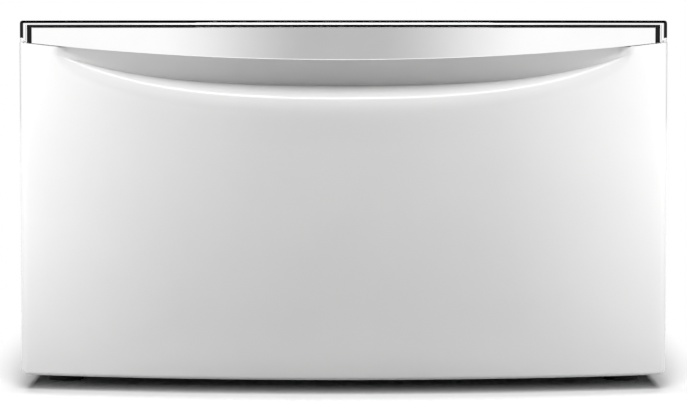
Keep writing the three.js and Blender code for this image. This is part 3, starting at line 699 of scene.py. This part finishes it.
def trim_shape():
    tops = bead_rows()
    ends = sorted(HALF - matched(s, TOP_KNOTS, END_KNOTS) for s in tops)
    wide, tall = TRIM_LOW_CHAMFER
    loops = []
    for x in mirrored(spread(0, ends[0], FRONT_STEP)[1:-1] + ends):
        y = front_y(x, 0)
        high = TOP - end_round(x, TRIM_TOP_CORNER)
        low = trim_edge(x) + tall * max(0.0, abs(x) - HALF + wide) / wide
        height = high - low
        face_low = height - 2 * TRIM_EDGE
        drops = tops + [mix(tops[-1], face_low, k / TRIM_ROWS) for k in range(1, TRIM_ROWS + 1)]
        drops += [height - TRIM_EDGE * (1 - k / TRIM_EDGE_ROWS) for k in range(TRIM_EDGE_ROWS + 1)]
        loop = []
        for drop in drops:
            s = trim_outline_distance(x, drop, high - trim_edge(x))
            edge = round_off(TRIM_EDGE, TRIM_EDGE - (height - drop))
            loop.append(Vector((x, y + bead_profile(s) + edge, high - drop)))
        back, shelf = y + TRIM_THICK, y + TRIM_TOP_DEPTH
        tail = ((back, low), (back, high - TRIM_TOP_THICK))
        tail += ((shelf, high - TRIM_TOP_THICK), (shelf, high))
        loops.append(loop + [Vector((x, *point)) for point in tail])
    return rings(loops)


def paint_groove_shade(piece):
    """The groove is painted black: painted shade where the groove's shadow and dark reflection fall.
    """
    piece.data.materials.append(make_groove_shade_paint())
    for face in piece.data.polygons:
        centre = face.center
        high = TOP - end_round(centre.x, TRIM_TOP_CORNER)
        s = trim_outline_distance(centre.x, high - centre.z, high - trim_edge(centre.x))
        ahead = face.normal.y < 0.5 and centre.y < front_y(centre.x, 0) + TRIM_THICK
        # Painted shade: the groove's faces turn black where its shadow would fall.
        if ahead and BEAD < s < BEAD + GROOVE:
            face.material_index = 1


dress("drawer_front", front_shell(), sharp=40)
paint_groove_shade(dress("handle_trim", trim_shape(), sharp=40))

# ---- cabinet

SIDE_FRONT_FLANGE = 20 * MM
SIDE_REAR_FLANGE = 18 * MM
RAIL_SHEET = 1.5 * MM
RAIL_BEND = 2 * MM
EMBOSS = 1.4 * MM  # depth of the shallow fields pressed into the flat panels
EMBOSS_SLOPE = 7 * MM
EMBOSS_CORNER = 21 * MM
EMBOSS_BAND = (2 * MM, 22.4 * MM)  # outward and inward of its outline, where the grid is finer
EDGE_ROUND = 1.1 * MM
EDGE_GRID, WELL_GRID, TROUGH_GRID, TROUGH_END_GRID = 0.3 * MM, 1.9 * MM, 1.6 * MM, 2.2 * MM
DECK_GRID, PANEL_GRID, FLOOR_GRID = 24 * MM, 30 * MM, 40 * MM
CORNER_GRID, EMBOSS_GRID = 0.7 * MM, 1.8 * MM
TROUGH_END_BAND = (9 * MM, 13 * MM)  # its middle, inward of a trough's end, and its half width
BUMPER_RIM = 0.45  # of a bumper's thickness
BUMPER_EDGE = 0.2 * MM


def field(u, v, low, high):
    """1 inside a rounded field, 0 outside it, with a smooth slope between."""
    mid_u, mid_v = (low[0] + high[0]) / 2, (low[1] + high[1]) / 2
    across = abs(u - mid_u) - (high[0] - low[0]) / 2 + EMBOSS_CORNER
    up = abs(v - mid_v) - (high[1] - low[1]) / 2 + EMBOSS_CORNER
    out = math.hypot(max(0.0, across), max(0.0, up)) + min(0.0, max(across, up)) - EMBOSS_CORNER
    return 1 - smoothstep(out, -EMBOSS_SLOPE, 0)


def edge_lines(value, inward):
    """The band of close grid lines that rounds an edge."""
    return (*sorted((value, value + inward * EDGE_ROUND)), EDGE_GRID)


def deck_shape():
    under = deck_high.z - SHEET
    middle = (deck_low.y + deck_high.y - SHEET) / 2
    rim = WELL_RADIUS + WELL_SLOPE + 1 * MM

    def press(x, y):
        x, y = abs(x), abs(y - middle)
        well = math.hypot(x - WELL_SPACING[0] / 2, y - WELL_SPACING[1] / 2)
        along = max(0.0, x - (TROUGH_LENGTH - TROUGH_WIDTH) / 2)
        trough = math.hypot(along, y - TROUGH_SPACING / 2) - TROUGH_WIDTH / 2
        flat_share = smoothstep(well, WELL_RADIUS, WELL_RADIUS + WELL_SLOPE)
        return WELL_DEPTH * (1 - min(flat_share, smoothstep(trough, *TROUGH_SLOPE)))

    def top(x, y):
        inset = min(x - deck_low.x, deck_high.x - x, y - deck_low.y)
        return deck_high.z - press(x, y) - round_off(EDGE_ROUND, EDGE_ROUND - inset)

    x_bands = [edge_lines(deck_low.x, 1), edge_lines(deck_high.x, -1)]
    y_bands = [edge_lines(deck_low.y, 1)]
    inward, end_half = TROUGH_END_BAND
    for side in (-1, 1):
        x_bands.append(band(side * WELL_SPACING[0] / 2, rim, WELL_GRID))
        x_bands.append(band(side * (TROUGH_LENGTH / 2 - inward), end_half, TROUGH_END_GRID))
        y_bands.append(band(middle + side * WELL_SPACING[1] / 2, rim, WELL_GRID))
        trough_y = middle + side * TROUGH_SPACING / 2
        y_bands.append(band(trough_y, TROUGH_WIDTH / 2 + 3 * MM, TROUGH_GRID))
    return pressed(
        grid_lines(deck_low.x, deck_high.x, DECK_GRID, x_bands),
        grid_lines(deck_low.y, deck_high.y, DECK_GRID, y_bands),
        top,
        lambda x, y: under - press(x, y),
        flat,
    )


def dress_deck():
    inner = HALF - SHEET
    flanges = []
    for _, side in SIDES:
        flanges.append(block(
            (side * (inner - SHEET), deck_low.y + 2 * SHEET, deck_low.z),
            (side * inner, deck_high.y - 3 * SHEET, deck_high.z - SHEET / 2),
        ))
    dress("top_deck", deck_shape(), *flanges)


def dress_side_panel(name, side):
    low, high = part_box("side_panel_" + name)
    tips = HALF - SIDE_FRONT_FLANGE, HALF - SIDE_REAR_FLANGE
    outline = channel(HALF - SHEET / 2, tips, low.y, high.y)
    dress("side_panel_" + name, run(outline, low.z, high.z, "Z", side))


def dress_flat_panel(node, margin_x, margin_low, margin_high, corner=0.0):
    """A flat panel across the back of something, with a shallow field pressed into it.

    Its two lower corners can be round.
    """
    low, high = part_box(node)
    start, end = (low.x + margin_x, low.z + margin_low), (high.x - margin_x, high.z - margin_high)
    outward, inward = EMBOSS_BAND

    def press(x, z):
        return -EMBOSS * field(x, z, start, end)

    def lifted(x, z):
        lift = round_off(corner, abs(x) - (high.x - corner))
        return z + lift * (high.z - z) / (high.z - low.z)

    bands = [
        [(a - outward, a + inward, EMBOSS_GRID), (b - inward, b + outward, EMBOSS_GRID)]
        for a, b in zip(start, end)
    ]
    bands[0] += [(low.x, low.x + corner, CORNER_GRID), (high.x - corner, high.x, CORNER_GRID)]
    dress(node, pressed(
        grid_lines(low.x, high.x, PANEL_GRID, bands[0]),
        grid_lines(low.z, high.z, PANEL_GRID, bands[1]),
        press,
        lambda x, z: press(x, z) - SHEET,
        lambda x, z, y: Vector((x, high.y + y, lifted(x, z))),
    ))


def dress_rails():
    h = RAIL_SHEET / 2
    for node, web in (("front_top_rail", -1), ("front_bottom_rail", -1), ("rear_bottom_rail", 1)):
        low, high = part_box(node)
        back, tip = (low.y + h, high.y) if web < 0 else (high.y - h, low.y)
        outline = channel(back, (tip, tip), low.z, high.z, RAIL_SHEET, RAIL_BEND)
        dress(node, run(outline, low.x, high.x, "X"))


def dress_bumper(name):
    low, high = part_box("bumper_" + name)
    radius, thick = (high.x - low.x) / 2, high.y - low.y
    rim = high.y - thick * BUMPER_RIM
    profile = [(0, high.y), (radius * 0.96, high.y), (radius, high.y - BUMPER_EDGE)]
    profile += [(radius * out, mix(rim, low.y, up)) for out, up in arc((0, 0), 1, 0, 90, 8)]
    dress("bumper_" + name, lathe(profile, (low + high) / 2, "Y", 40))


# ---- slides

BRACKET_SHEET = 1.5 * MM
BRACKET_HAT = 50 * MM
RACE_BEND = 2.2 * MM
CAGE_SHEET = 0.6 * MM
CAGE_BEND = 1 * MM
BALL_DEPTHS = {"outer": 5.8 * MM, "inner": 7.0 * MM}  # of the ball rows, from the slide's back
BALLS_A_ROW = 5
SLIDE_HOLE = 2.3 * MM
LEVER_BOSS = 3.6 * MM
LEVER_PIN = 1.5 * MM
LEVER_THICK = 3 * MM
LEVER_ROUND = 0.8 * MM
LEVER_CHAMFER = (0.5 * MM, 0.4 * MM)
LEVER_RIBS = (5, 2.5 * MM, 1.8 * MM, 0.8 * MM)  # count, place of the first, pitch, width
MEMBER_HOLES = ((35 * MM, 9 * MM), (110 * MM, 5 * MM), (200 * MM, 14 * MM), (300 * MM, 5 * MM),
                (410 * MM, 9 * MM))  # place along the member and length
INNER_HOLES = ((20 * MM, 9 * MM), (90 * MM, 5 * MM), (320 * MM, 5 * MM), (420 * MM, 9 * MM))
BRACKET_HOLES = (30 * MM, 150 * MM, 300 * MM, 440 * MM)
BRACKET_HOLE = (12 * MM, 6 * MM)
BRACKET_HOLE_EDGE = 10 * MM


def side_slot(y, z, length, width, x0, x1, side):
    """A cutter through an upright web: a slot along Y with round ends."""
    return run(slot_outline(length, width, (y, z)), x0, x1, "X", side)


def slide_channel(node, web_out, holes, side):
    """One member of a slide, its web outside or inside, with holes along the web."""
    low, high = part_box(node)
    near, far = reach(low, high)
    h = SHEET / 2
    web, tip = (far - h, near) if web_out else (near + h, far)
    outline = channel(web, (tip, tip), low.z, high.z, SHEET, RACE_BEND)
    middle = (low.z + high.z) / 2
    tools = [
        side_slot(low.y + at, middle, length, 2 * SLIDE_HOLE, web - 3 * MM, web + 3 * MM, side)
        for at, length in holes
    ]
    return cut([run(outline, low.y, high.y, "Y", side)], tools)


def dress_slide_bracket(name, side):
    node = "slide_bracket_" + name
    low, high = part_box(node)
    near, far = reach(low, high)
    h = BRACKET_SHEET / 2
    middle, hat = (low.z + high.z) / 2, BRACKET_HAT / 2 - h
    outline = fold([
        (far - h, high.z), (far - h, middle + hat), (near + h, middle + hat),
        (near + h, middle - hat), (far - h, middle - hat), (far - h, low.z),
    ], BRACKET_SHEET, RAIL_BEND)
    tools = [
        side_slot(low.y + at, z, *BRACKET_HOLE, far - 4 * MM, far + 2 * MM, side)
        for at in BRACKET_HOLES
        for z in (low.z + BRACKET_HOLE_EDGE, high.z - BRACKET_HOLE_EDGE)
    ]
    dress(node, cut([run(outline, low.y, high.y, "Y", side)], tools))


def dress_slide(name, side):
    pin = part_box("release_lever_" + name)[1].y - LEVER_BOSS
    pin_hole = (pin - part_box("slide_inner_" + name)[0].y, 2 * SLIDE_HOLE + 0.01 * MM)
    for member, web_out, holes in (
        ("outer", True, MEMBER_HOLES),
        ("mid", True, (MEMBER_HOLES[1], MEMBER_HOLES[3])),
        ("inner", False, (*INNER_HOLES, pin_hole)),
    ):
        node = f"slide_{member}_{name}"
        dress(node, slide_channel(node, web_out, holes, side))
    for ring in ("outer", "inner"):
        dress_cage(ring, name, side)
    dress_lever(name, side)


def dress_cage(ring, name, side):
    node = f"ball_cage_{ring}_{name}"
    low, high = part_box(node)
    back = abs(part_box("slide_outer_" + name)[0 if side < 0 else 1].x)
    middle = (low.z + high.z) / 2
    row = (high.z - low.z) / 2 - BALL / 2
    ball_x = back - BALL_DEPTHS[ring]
    tip, far = reach(low, high)
    h = CAGE_SHEET / 2
    rows = middle - row - h, middle + row + h
    outline = channel(far - h, (tip, tip), *rows, CAGE_SHEET, CAGE_BEND, 3)
    shapes = [run(outline, low.y, high.y, "Y", side)]
    for i in range(BALLS_A_ROW):
        y = mix(low.y, high.y, (i + 0.5) / BALLS_A_ROW)
        for up in (-1, 1):
            shapes.append(ball((side * ball_x, y, middle + up * row), BALL / 2))
    dress(node, *shapes)


def dress_lever(name, side):
    node = "release_lever_" + name
    low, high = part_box(node)
    near, far = reach(low, high)
    middle = (low.z + high.z) / 2
    pin = high.y - LEVER_BOSS
    face = far - LEVER_THICK
    back, edge = LEVER_CHAMFER
    arm = LEVER_BOSS - edge
    shapes = [
        block((side * face, low.y, middle - arm), (side * far, pin, middle + arm), LEVER_ROUND, 3)
    ]
    boss = [(0, face), (LEVER_BOSS - back, face), (LEVER_BOSS, face + edge), (LEVER_BOSS, far)]
    stem = [(0, near), (LEVER_PIN, near), (LEVER_PIN, far)]
    for profile, segments in ((boss, 28), (stem, 20)):
        profile = [(radius, side * x) for radius, x in (*profile, (0, far))]
        shapes.append(lathe(profile, (0, pin, middle), "X", segments))
    count, first, pitch, width = LEVER_RIBS
    for k in range(count):
        y = low.y + first + pitch * k
        shapes.append(block(
            (side * (far - 0.5 * MM), y, middle - arm + 1 * MM),
            (side * (far + 0.3 * MM), y + width, middle + arm - 1 * MM), 0.15 * MM, 1,
        ))
    dress(node, *shapes)


# ---- drawer box

WALL_FOOT = 12 * MM
WALL_HEM = 10 * MM
WALL_TAB = 15 * MM
GUIDE_DEPTH = 8 * MM
DIVIDER_HEM = 6 * MM
HAND_SLOT = (96 * MM, 24 * MM)
HAND_SLOT_DROP = 30 * MM
DIVIDER_HEM_ROUND = 0.42  # of the hem's width
SLOT_HEM = 1.3 * MM
FLOOR_RIB = 1 * MM
FLOOR_RIB_HALF = 9 * MM
FLOOR_RIB_SHARES = (0.2, 0.4, 0.6, 0.8)  # of the floor's width
FLOOR_RIB_END = (30 * MM, 10 * MM)  # from the floor's edge, and its slope


def dress_drawer_wall(name, side):
    plate_low, plate_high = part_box("drawer_divider")
    divider_y = (plate_low.y + plate_high.y) / 2
    node = "drawer_wall_" + name
    low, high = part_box(node)
    outer, h = reach(low, high)[1], SHEET / 2
    inner = outer - SHEET
    outline = channel(outer - h, (outer - WALL_FOOT, outer - WALL_HEM), low.z, high.z)
    rise = (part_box("drawer_floor")[1].z + FIT, high.z - SHEET + FIT)
    gap = SHEET / 2 + FIT
    guides = (divider_y - gap - SHEET, GUIDE_DEPTH), (divider_y + gap, GUIDE_DEPTH)
    fins = [
        block((side * (inner - depth), y, rise[0]), (side * (inner + h), y + SHEET, rise[1]))
        for y, depth in ((low.y, WALL_TAB), *guides)
    ]
    notch = block(
        (side * (inner - WALL_HEM), divider_y - gap, high.z - 3 * SHEET),
        (side * inner, divider_y + gap, high.z + FIT),
    )
    dress(node, cut([run(outline, low.y, high.y, "Y", side)], [notch]), *fins)


def dress_drawer_floor():
    low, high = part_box("drawer_floor")
    ribs = [mix(low.x, high.x, share) for share in FLOOR_RIB_SHARES]
    margin, slope = FLOOR_RIB_END

    def press(x, y):
        inset = min(y - low.y, high.y - y) - margin
        share = max(
            1 - smoothstep(abs(x - rib), FLOOR_RIB_HALF * 0.4, FLOOR_RIB_HALF) for rib in ribs
        )
        return high.z - FLOOR_RIB * share * smoothstep(inset, 0, slope)

    x_bands = [band(rib, FLOOR_RIB_HALF, 1.5 * MM) for rib in ribs]
    start, end = low.y + margin, high.y - margin
    y_bands = [(start, start + slope, 2 * MM), (end - slope, end, 2 * MM)]
    dress("drawer_floor", pressed(
        grid_lines(low.x, high.x, FLOOR_GRID, x_bands),
        grid_lines(low.y, high.y, FLOOR_GRID, y_bands),
        press,
        lambda x, y: press(x, y) - SHEET,
        flat,
    ))


def dress_drawer_back():
    low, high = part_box("drawer_back")
    h = SHEET / 2
    outline = fold([(high.y - h, low.z), (high.y - h, high.z - h), (low.y, high.z - h)])
    dress("drawer_back", run(outline, low.x, high.x, "X"))


def dress_divider():
    low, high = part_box("drawer_divider")
    y = (low.y + high.y) / 2
    h = SHEET / 2
    centre = (0, high.z - HAND_SLOT_DROP)
    tool = run(slot_outline(*HAND_SLOT, centre, 12), y - DIVIDER_HEM, y + DIVIDER_HEM, "Y")
    plate = cut([block((low.x, y - h, low.z), (high.x, y + h, high.z - h))], [tool])
    hem_end = WALL_HEM - SHEET
    hem = block(
        (low.x + hem_end, y - DIVIDER_HEM / 2, high.z - DIVIDER_HEM),
        (high.x - hem_end, y + DIVIDER_HEM / 2, high.z), DIVIDER_HEM * DIVIDER_HEM_ROUND, 5,
    )
    loops = []
    for k in range(13):
        turn = 2 * math.pi * k / 12
        grow = 2 * SLOT_HEM * math.cos(turn)
        outline = slot_outline(HAND_SLOT[0] + grow, HAND_SLOT[1] + grow, centre, 12)
        loops.append([Vector((p[0], y + SLOT_HEM * math.sin(turn), p[1])) for p in outline])
    dress("drawer_divider", plate, hem, rings(loops, caps=False))


# ---- screws and feet

SCREW_HEAD_RADIUS = 4.2 * MM
SCREW_HEAD = 2 * MM
SCREW_RADIUS = 2 * MM
SCREW_PITCH = 1.4 * MM
SCREW_ROOT = 0.76  # of the thread's radius
SCREW_POINT = (2.2 * MM, 0.4 * MM)  # length, and the height of its blunt end
HEAD_EDGE = (0.15 * MM, 0.6 * MM)  # where the head's straight edge starts and ends
RECESS_ARM = (3.4 * MM, 0.8 * MM, 1.1 * MM)  # cross recess: length, width, depth
NUT_ACROSS = 16 * MM
STUD_ACROSS = 19 * MM
STUD_HEX = 5 * MM
STUD_RADIUS = 4.76 * MM
SOCKET_RADIUS = 4.3 * MM
SOCKET_DEPTH = 5.3 * MM
SOCKET_CHAMFER = 0.4 * MM
POST_CHAMFER = 0.5 * MM
PAD_ROUND = 1.6 * MM  # of its upper edge
PAD_LINE = (2.4 * MM, 1.6 * MM, 0.6 * MM)  # fine groove round its edge: top, bottom, depth
PAD_CHAMFER = 0.5 * MM
PAD_RING = 0.6 * MM  # depth of the ring under it
PLATE = 2.5 * MM


def dress_screw(node):
    """A pan-head screw with a cross recess; its head looks to the back."""
    low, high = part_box(node)
    centre = (low + high) / 2
    seat = high.y - SCREW_HEAD
    point, tip = SCREW_POINT
    shank = [(0, low.y), (SCREW_RADIUS * 0.3, low.y + tip)]
    y = low.y + point
    while y + SCREW_PITCH < seat:
        shank += [(SCREW_RADIUS, y), (SCREW_RADIUS * SCREW_ROOT, y + SCREW_PITCH / 2)]
        y += SCREW_PITCH
    edge_low, edge_high = (seat + rise for rise in HEAD_EDGE)
    shank += [(SCREW_RADIUS, seat), (SCREW_HEAD_RADIUS * 0.97, seat)]
    shank.append((SCREW_HEAD_RADIUS, edge_low))
    for out, up in arc((0, 0), 1, 0, 90, 6)[:-1]:
        shank.append((SCREW_HEAD_RADIUS * out ** 0.6, mix(edge_high, high.y, up)))
    shank.append((0, high.y))
    length, width, depth = RECESS_ARM
    corner = [(length / 2, -width / 2), (length / 2, width / 2), (width / 2, width / 2)]
    cross = []
    for quarter in range(4):
        for point in corner:
            spot = turned(Vector(point), math.radians(90 * quarter))
            cross.append((centre.x + spot.x, centre.z + spot.y))
    recess = run(cross, high.y - depth, high.y + depth, "Y")
    dress(node, cut([lathe(shank, centre, "Y", 32)], [recess]))


def hexagon(centre, across, low, high, bore=None):
    """A hexagonal nut or head whose corners are turned off on both faces."""
    face = across / 2 * NUT_FACE
    corner = across / 2 / math.cos(math.radians(30))
    turns = full_turn(72)

    def loop(radius, z):
        return [around(centre, radius, turn, z) for turn in turns]

    def hex_loop(z, inward):
        points = []
        for turn in turns:
            radius = across / 2 / math.cos(math.radians((math.degrees(turn) + 30) % 60 - 30))
            drop = NUT_CHAMFER * (radius - face) / (corner - face)
            points.append(around(centre, radius, turn, z + inward * drop))
        return points

    loops = [loop(face, low), hex_loop(low, 1), hex_loop(high, -1), loop(face, high)]
    if bore is None:
        return rings(loops)
    mouth = bore + NUT_FLARE
    loops += [loop(mouth, high), loop(bore, high - NUT_FLARE)]
    loops += [loop(bore, low + NUT_FLARE), loop(mouth, low)]
    return rings(loops + loops[:1], caps=False)


def threaded(centre, radius, low, high):
    """A threaded rod, its end turned to a blunt point."""
    loops = []
    for z in spread(low, high, THREAD_PITCH / 6):
        loop = []
        for turn in full_turn(24):
            phase = (z / THREAD_PITCH - turn / (2 * math.pi)) % 1
            depth = THREAD_DEPTH * abs(2 * phase - 1)
            r = radius - max(depth, z - (high - THREAD_END))
            loop.append(around(centre, r, turn, z))
        loops.append(loop)
    return rings(loops)


def dress_foot(end, name, side):
    label = f"{end}_{name}"
    stud_low, stud_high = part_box("foot_stud_" + label)
    centre = (stud_low + stud_high) / 2
    pad_low, pad_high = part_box("foot_pad_" + label)
    radius, height = (pad_high.x - pad_low.x) / 2, pad_high.z
    floor_z = height - SOCKET_DEPTH
    pad = [(0, floor_z), (SOCKET_RADIUS, floor_z), (SOCKET_RADIUS, height - SOCKET_CHAMFER)]
    pad += [(SOCKET_RADIUS + SOCKET_CHAMFER, height), (radius * 0.55, height)]
    pad += [(radius * 0.62, height - 0.3 * MM), (radius * 0.8, height * 0.72)]
    pad += arc((radius - PAD_ROUND, height * 0.5), PAD_ROUND, 60, 0, 4)
    top, bottom, depth = PAD_LINE
    pad += [(radius, top), (radius - depth, (top + bottom) / 2), (radius, bottom)]
    pad += [(radius, PAD_CHAMFER), (radius - PAD_CHAMFER, 0), (radius * 0.72, 0)]
    pad += [(radius * 0.7, PAD_RING), (radius * 0.62, PAD_RING), (radius * 0.6, 0), (0, 0)]
    dress("foot_pad_" + label, lathe(pad, centre, segments=56))
    hex_low = height + FIT
    hex_high = hex_low + STUD_HEX
    post = SOCKET_RADIUS - FIT
    foot = [(0, stud_low.z), (post - POST_CHAMFER, stud_low.z), (post, stud_low.z + POST_CHAMFER)]
    foot += [(post, hex_low + FIT), (0, hex_low + FIT)]
    dress(
        "foot_stud_" + label,
        lathe(foot, centre),
        hexagon(centre, STUD_ACROSS, hex_low, hex_high),
        threaded(centre, STUD_RADIUS, hex_high - 0.2 * MM, stud_high.z),
    )
    for kind in ("lock", "weld"):
        node = f"{kind}_nut_{label}"
        low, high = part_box(node)
        dress(node, hexagon(centre, NUT_ACROSS, low.z, high.z, STUD_RADIUS + FIT))
    node = "corner_bracket_" + label
    low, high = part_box(node)
    near, far = reach(low, high)
    h = PLATE / 2
    outline = fold([(near, low.z + h), (far - h, low.z + h), (far - h, high.z)], PLATE, PLATE)
    bore = STUD_RADIUS + 2 * FIT
    start, end = low.z - 1 * MM, low.z + 2 * PLATE
    hole = lathe([(0, start), (bore, start), (bore, end), (0, end)], centre, segments=40)
    dress(node, cut([run(outline, low.y, high.y, "Y", side)], [hole]))


def on_both_sides(dress_piece):
    for name, side in SIDES:
        dress_piece(name, side)


def dress_fasteners(name, side):
    for level in ("lower", "upper"):
        dress_screw(f"drawer_screw_{level}_{name}")
        dress_screw(f"rear_screw_{level}_{name}")
    for end in ENDS:
        dress_foot(end, name, side)


dress_deck()
on_both_sides(dress_side_panel)
dress_flat_panel("rear_panel", 40 * MM, 60 * MM, 45 * MM)
dress_flat_panel("drawer_inner_panel", 45 * MM, 45 * MM, 60 * MM, FRONT_LOW_CORNER - PANEL_INSET)
dress_rails()
dress_bumper("left")
dress_bumper("right")
on_both_sides(dress_slide_bracket)
on_both_sides(dress_slide)
on_both_sides(dress_drawer_wall)
dress_drawer_floor()
dress_drawer_back()
dress_divider()
on_both_sides(dress_fasteners)

# ---- camera, light and floor

CAMERA_DISTANCE = 3.012  # from the middle of the front
CAMERA_HEIGHT = 0.376
TARGET_HEIGHT = 0.2064
SENSOR = 36.0
PHOTO_WIDTH = 687  # px
FOCAL_PX = 2893

camera_data = bpy.data.cameras.new("camera")
camera_data.sensor_width = SENSOR
camera_data.lens = FOCAL_PX / PHOTO_WIDTH * SENSOR
camera = placed("camera", camera_data)
camera.location = (0, FRONT_Y - CAMERA_DISTANCE, CAMERA_HEIGHT)
aim = Vector((0, FRONT_Y, TARGET_HEIGHT)) - camera.location
camera.rotation_euler = aim.to_track_quat("-Z", "Y").to_euler()
bpy.context.scene.camera = camera

FLOOR_TONE = 0.45
FLOOR_SEEN_TONE = 1.6  # in the picture, in gloss and through glass the paper is white
FLOOR_FADE = (0.6, 1.3)  # distance from the middle over which the paper turns into backdrop
FLOOR_SIDE_FADE = (HALF, HALF + 0.08)  # the same, to the left and right
FLOOR_HALF = 8.0


def make_floor():
    """White paper that fades into the backdrop away from the object."""
    tree = new_nodes("floor")
    where = tree.add("TexCoord").outputs["Object"]
    away = tree.add("VectorMath", {0: where}, operation="LENGTH").outputs["Value"]
    rays = tree.add("LightPath")
    seen = tree.math("MAXIMUM", rays.outputs["Is Camera Ray"], rays.outputs["Is Glossy Ray"])
    seen = tree.math("MAXIMUM", seen, rays.outputs["Is Transmission Ray"])
    seen = tree.math("MULTIPLY", seen, tree.unstruck(rays))
    tone = tree.smooth(seen, 0, 1, FLOOR_TONE, FLOOR_SEEN_TONE)
    tone = tree.add("CombineColor", {0: tone, 1: tone, 2: tone}).outputs[0]
    paper = tree.add("BsdfDiffuse", {"Color": tone})
    glow = tree.add("Emission", {"Color": (1, 1, 1, 1), "Strength": 1.0})
    across = tree.math("ABSOLUTE", tree.add("SeparateXYZ", {0: where}).outputs["X"])
    faded = tree.math(
        "MAXIMUM", tree.smooth(away, *FLOOR_FADE), tree.smooth(across, *FLOOR_SIDE_FADE)
    )
    share = tree.math("MULTIPLY", seen, faded)
    both = tree.add("MixShader", {0: share, 1: paper.outputs[0], 2: glow.outputs[0]})
    tree.add("OutputMaterial", {"Surface": both.outputs[0]})
    return tree.owner


floor_mesh = bpy.data.meshes.new("floor")
corners = [(-1, -1, 0), (1, -1, 0), (1, 1, 0), (-1, 1, 0)]
floor_mesh.from_pydata([Vector(c) * FLOOR_HALF for c in corners], [], [(0, 1, 2, 3)])
floor_mesh.materials.append(make_floor())
floor = placed("floor", floor_mesh)


def lamp(name, place, target, size, power, lights="object", glossy=False):
    """A soft box. Its light is flagged off the floor, or off the object, or off neither."""
    data = bpy.data.lights.new(name, "AREA")
    data.shape = "RECTANGLE"
    data.size, data.size_y = size
    data.energy = power
    light = placed(name, data)
    light.location = place
    light.rotation_euler = (Vector(target) - Vector(place)).to_track_quat("-Z", "Y").to_euler()
    light.visible_camera = False
    light.visible_glossy = glossy
    if lights != "both":
        flag = bpy.data.collections.new(name + "_flag")
        flag.objects.link(floor)
        light.light_linking.receiver_collection = flag
        state = "INCLUDE" if lights == "floor" else "EXCLUDE"
        flag.collection_objects[0].light_linking.link_state = state


TOP_POWER = 32
BACK_POWER = 12
KEY_POWER = 22
STRIP_POWER = 2.5
SIDE_POWER = 2.6
FLOOR_POWER = 47
WORLD_FILL = 0.004  # of the world's light that reaches dull surfaces
# The world's level, each as two places on an axis and the levels there
WORLD_ASIDE = (0.06, 0.40, 0.51, 1.0)
WORLD_UP = (0.10, 0.30, 1.0, 0.02)
WORLD_BACK = (-0.35, 0.1, 1.0, 0.02)

lamp("lamp_top", (0, 0.2, 2.6), (0, 0.1, 0), (2.6, 1.4), TOP_POWER, "both")
lamp("lamp_back", (0, 2.2, 1.2), (0, 0, 0.2), (1.6, 1.0), BACK_POWER)
lamp("lamp_key", (0, FRONT_Y - 1.0, 2.05), (0, FRONT_Y, 0.25), (1.6, 0.9), KEY_POWER)
lamp(
    "lamp_strip", (0, FRONT_Y - 0.42, 1.75), (0, FRONT_Y, 0.3), (0.94, 0.2), STRIP_POWER, glossy=True
)
lamp("lamp_floor", (0, FRONT_Y - 2.0, 1.0), (0, FRONT_Y, 0), (1.0, 1.3), FLOOR_POWER, "floor")
for name, side in SIDES:
    place = (side * 0.62, FRONT_Y - 0.17, 0.52)
    lamp("lamp_" + name, place, (side * 0.25, FRONT_Y, 0.52), (0.15, 1.0), SIDE_POWER)

world = bpy.data.worlds.new("world")
bpy.context.scene.world = world
world.cycles.sampling_method = "NONE"
sky = Nodes(world)
path = sky.add("LightPath")
axes = sky.add("SeparateXYZ", {0: sky.add("TexCoord").outputs["Generated"]})
aside = sky.math("ABSOLUTE", axes.outputs["X"])
level = sky.smooth(aside, *WORLD_ASIDE)
level = sky.math("MULTIPLY", level, sky.smooth(axes.outputs["Z"], *WORLD_UP))
level = sky.math("MULTIPLY", level, sky.smooth(axes.outputs["Y"], *WORLD_BACK))
level = sky.math("MULTIPLY", level, sky.smooth(sky.unstruck(path), 0, 1, WORLD_FILL, 1.0))
shown = sky.math("MAXIMUM", level, path.outputs["Is Camera Ray"])
background = sky.add("Background", {"Color": (1, 1, 1, 1), "Strength": shown})
sky.add("OutputWorld", {"Surface": background.outputs[0]})

bpy.context.scene.view_settings.view_transform = "Standard"

for node, thing in frame["nodes"].items():
    for slot in thing.material_slots:
        slot.material = MATERIALS[SLOT_OF[node]]

bpy.context.view_layer.update()
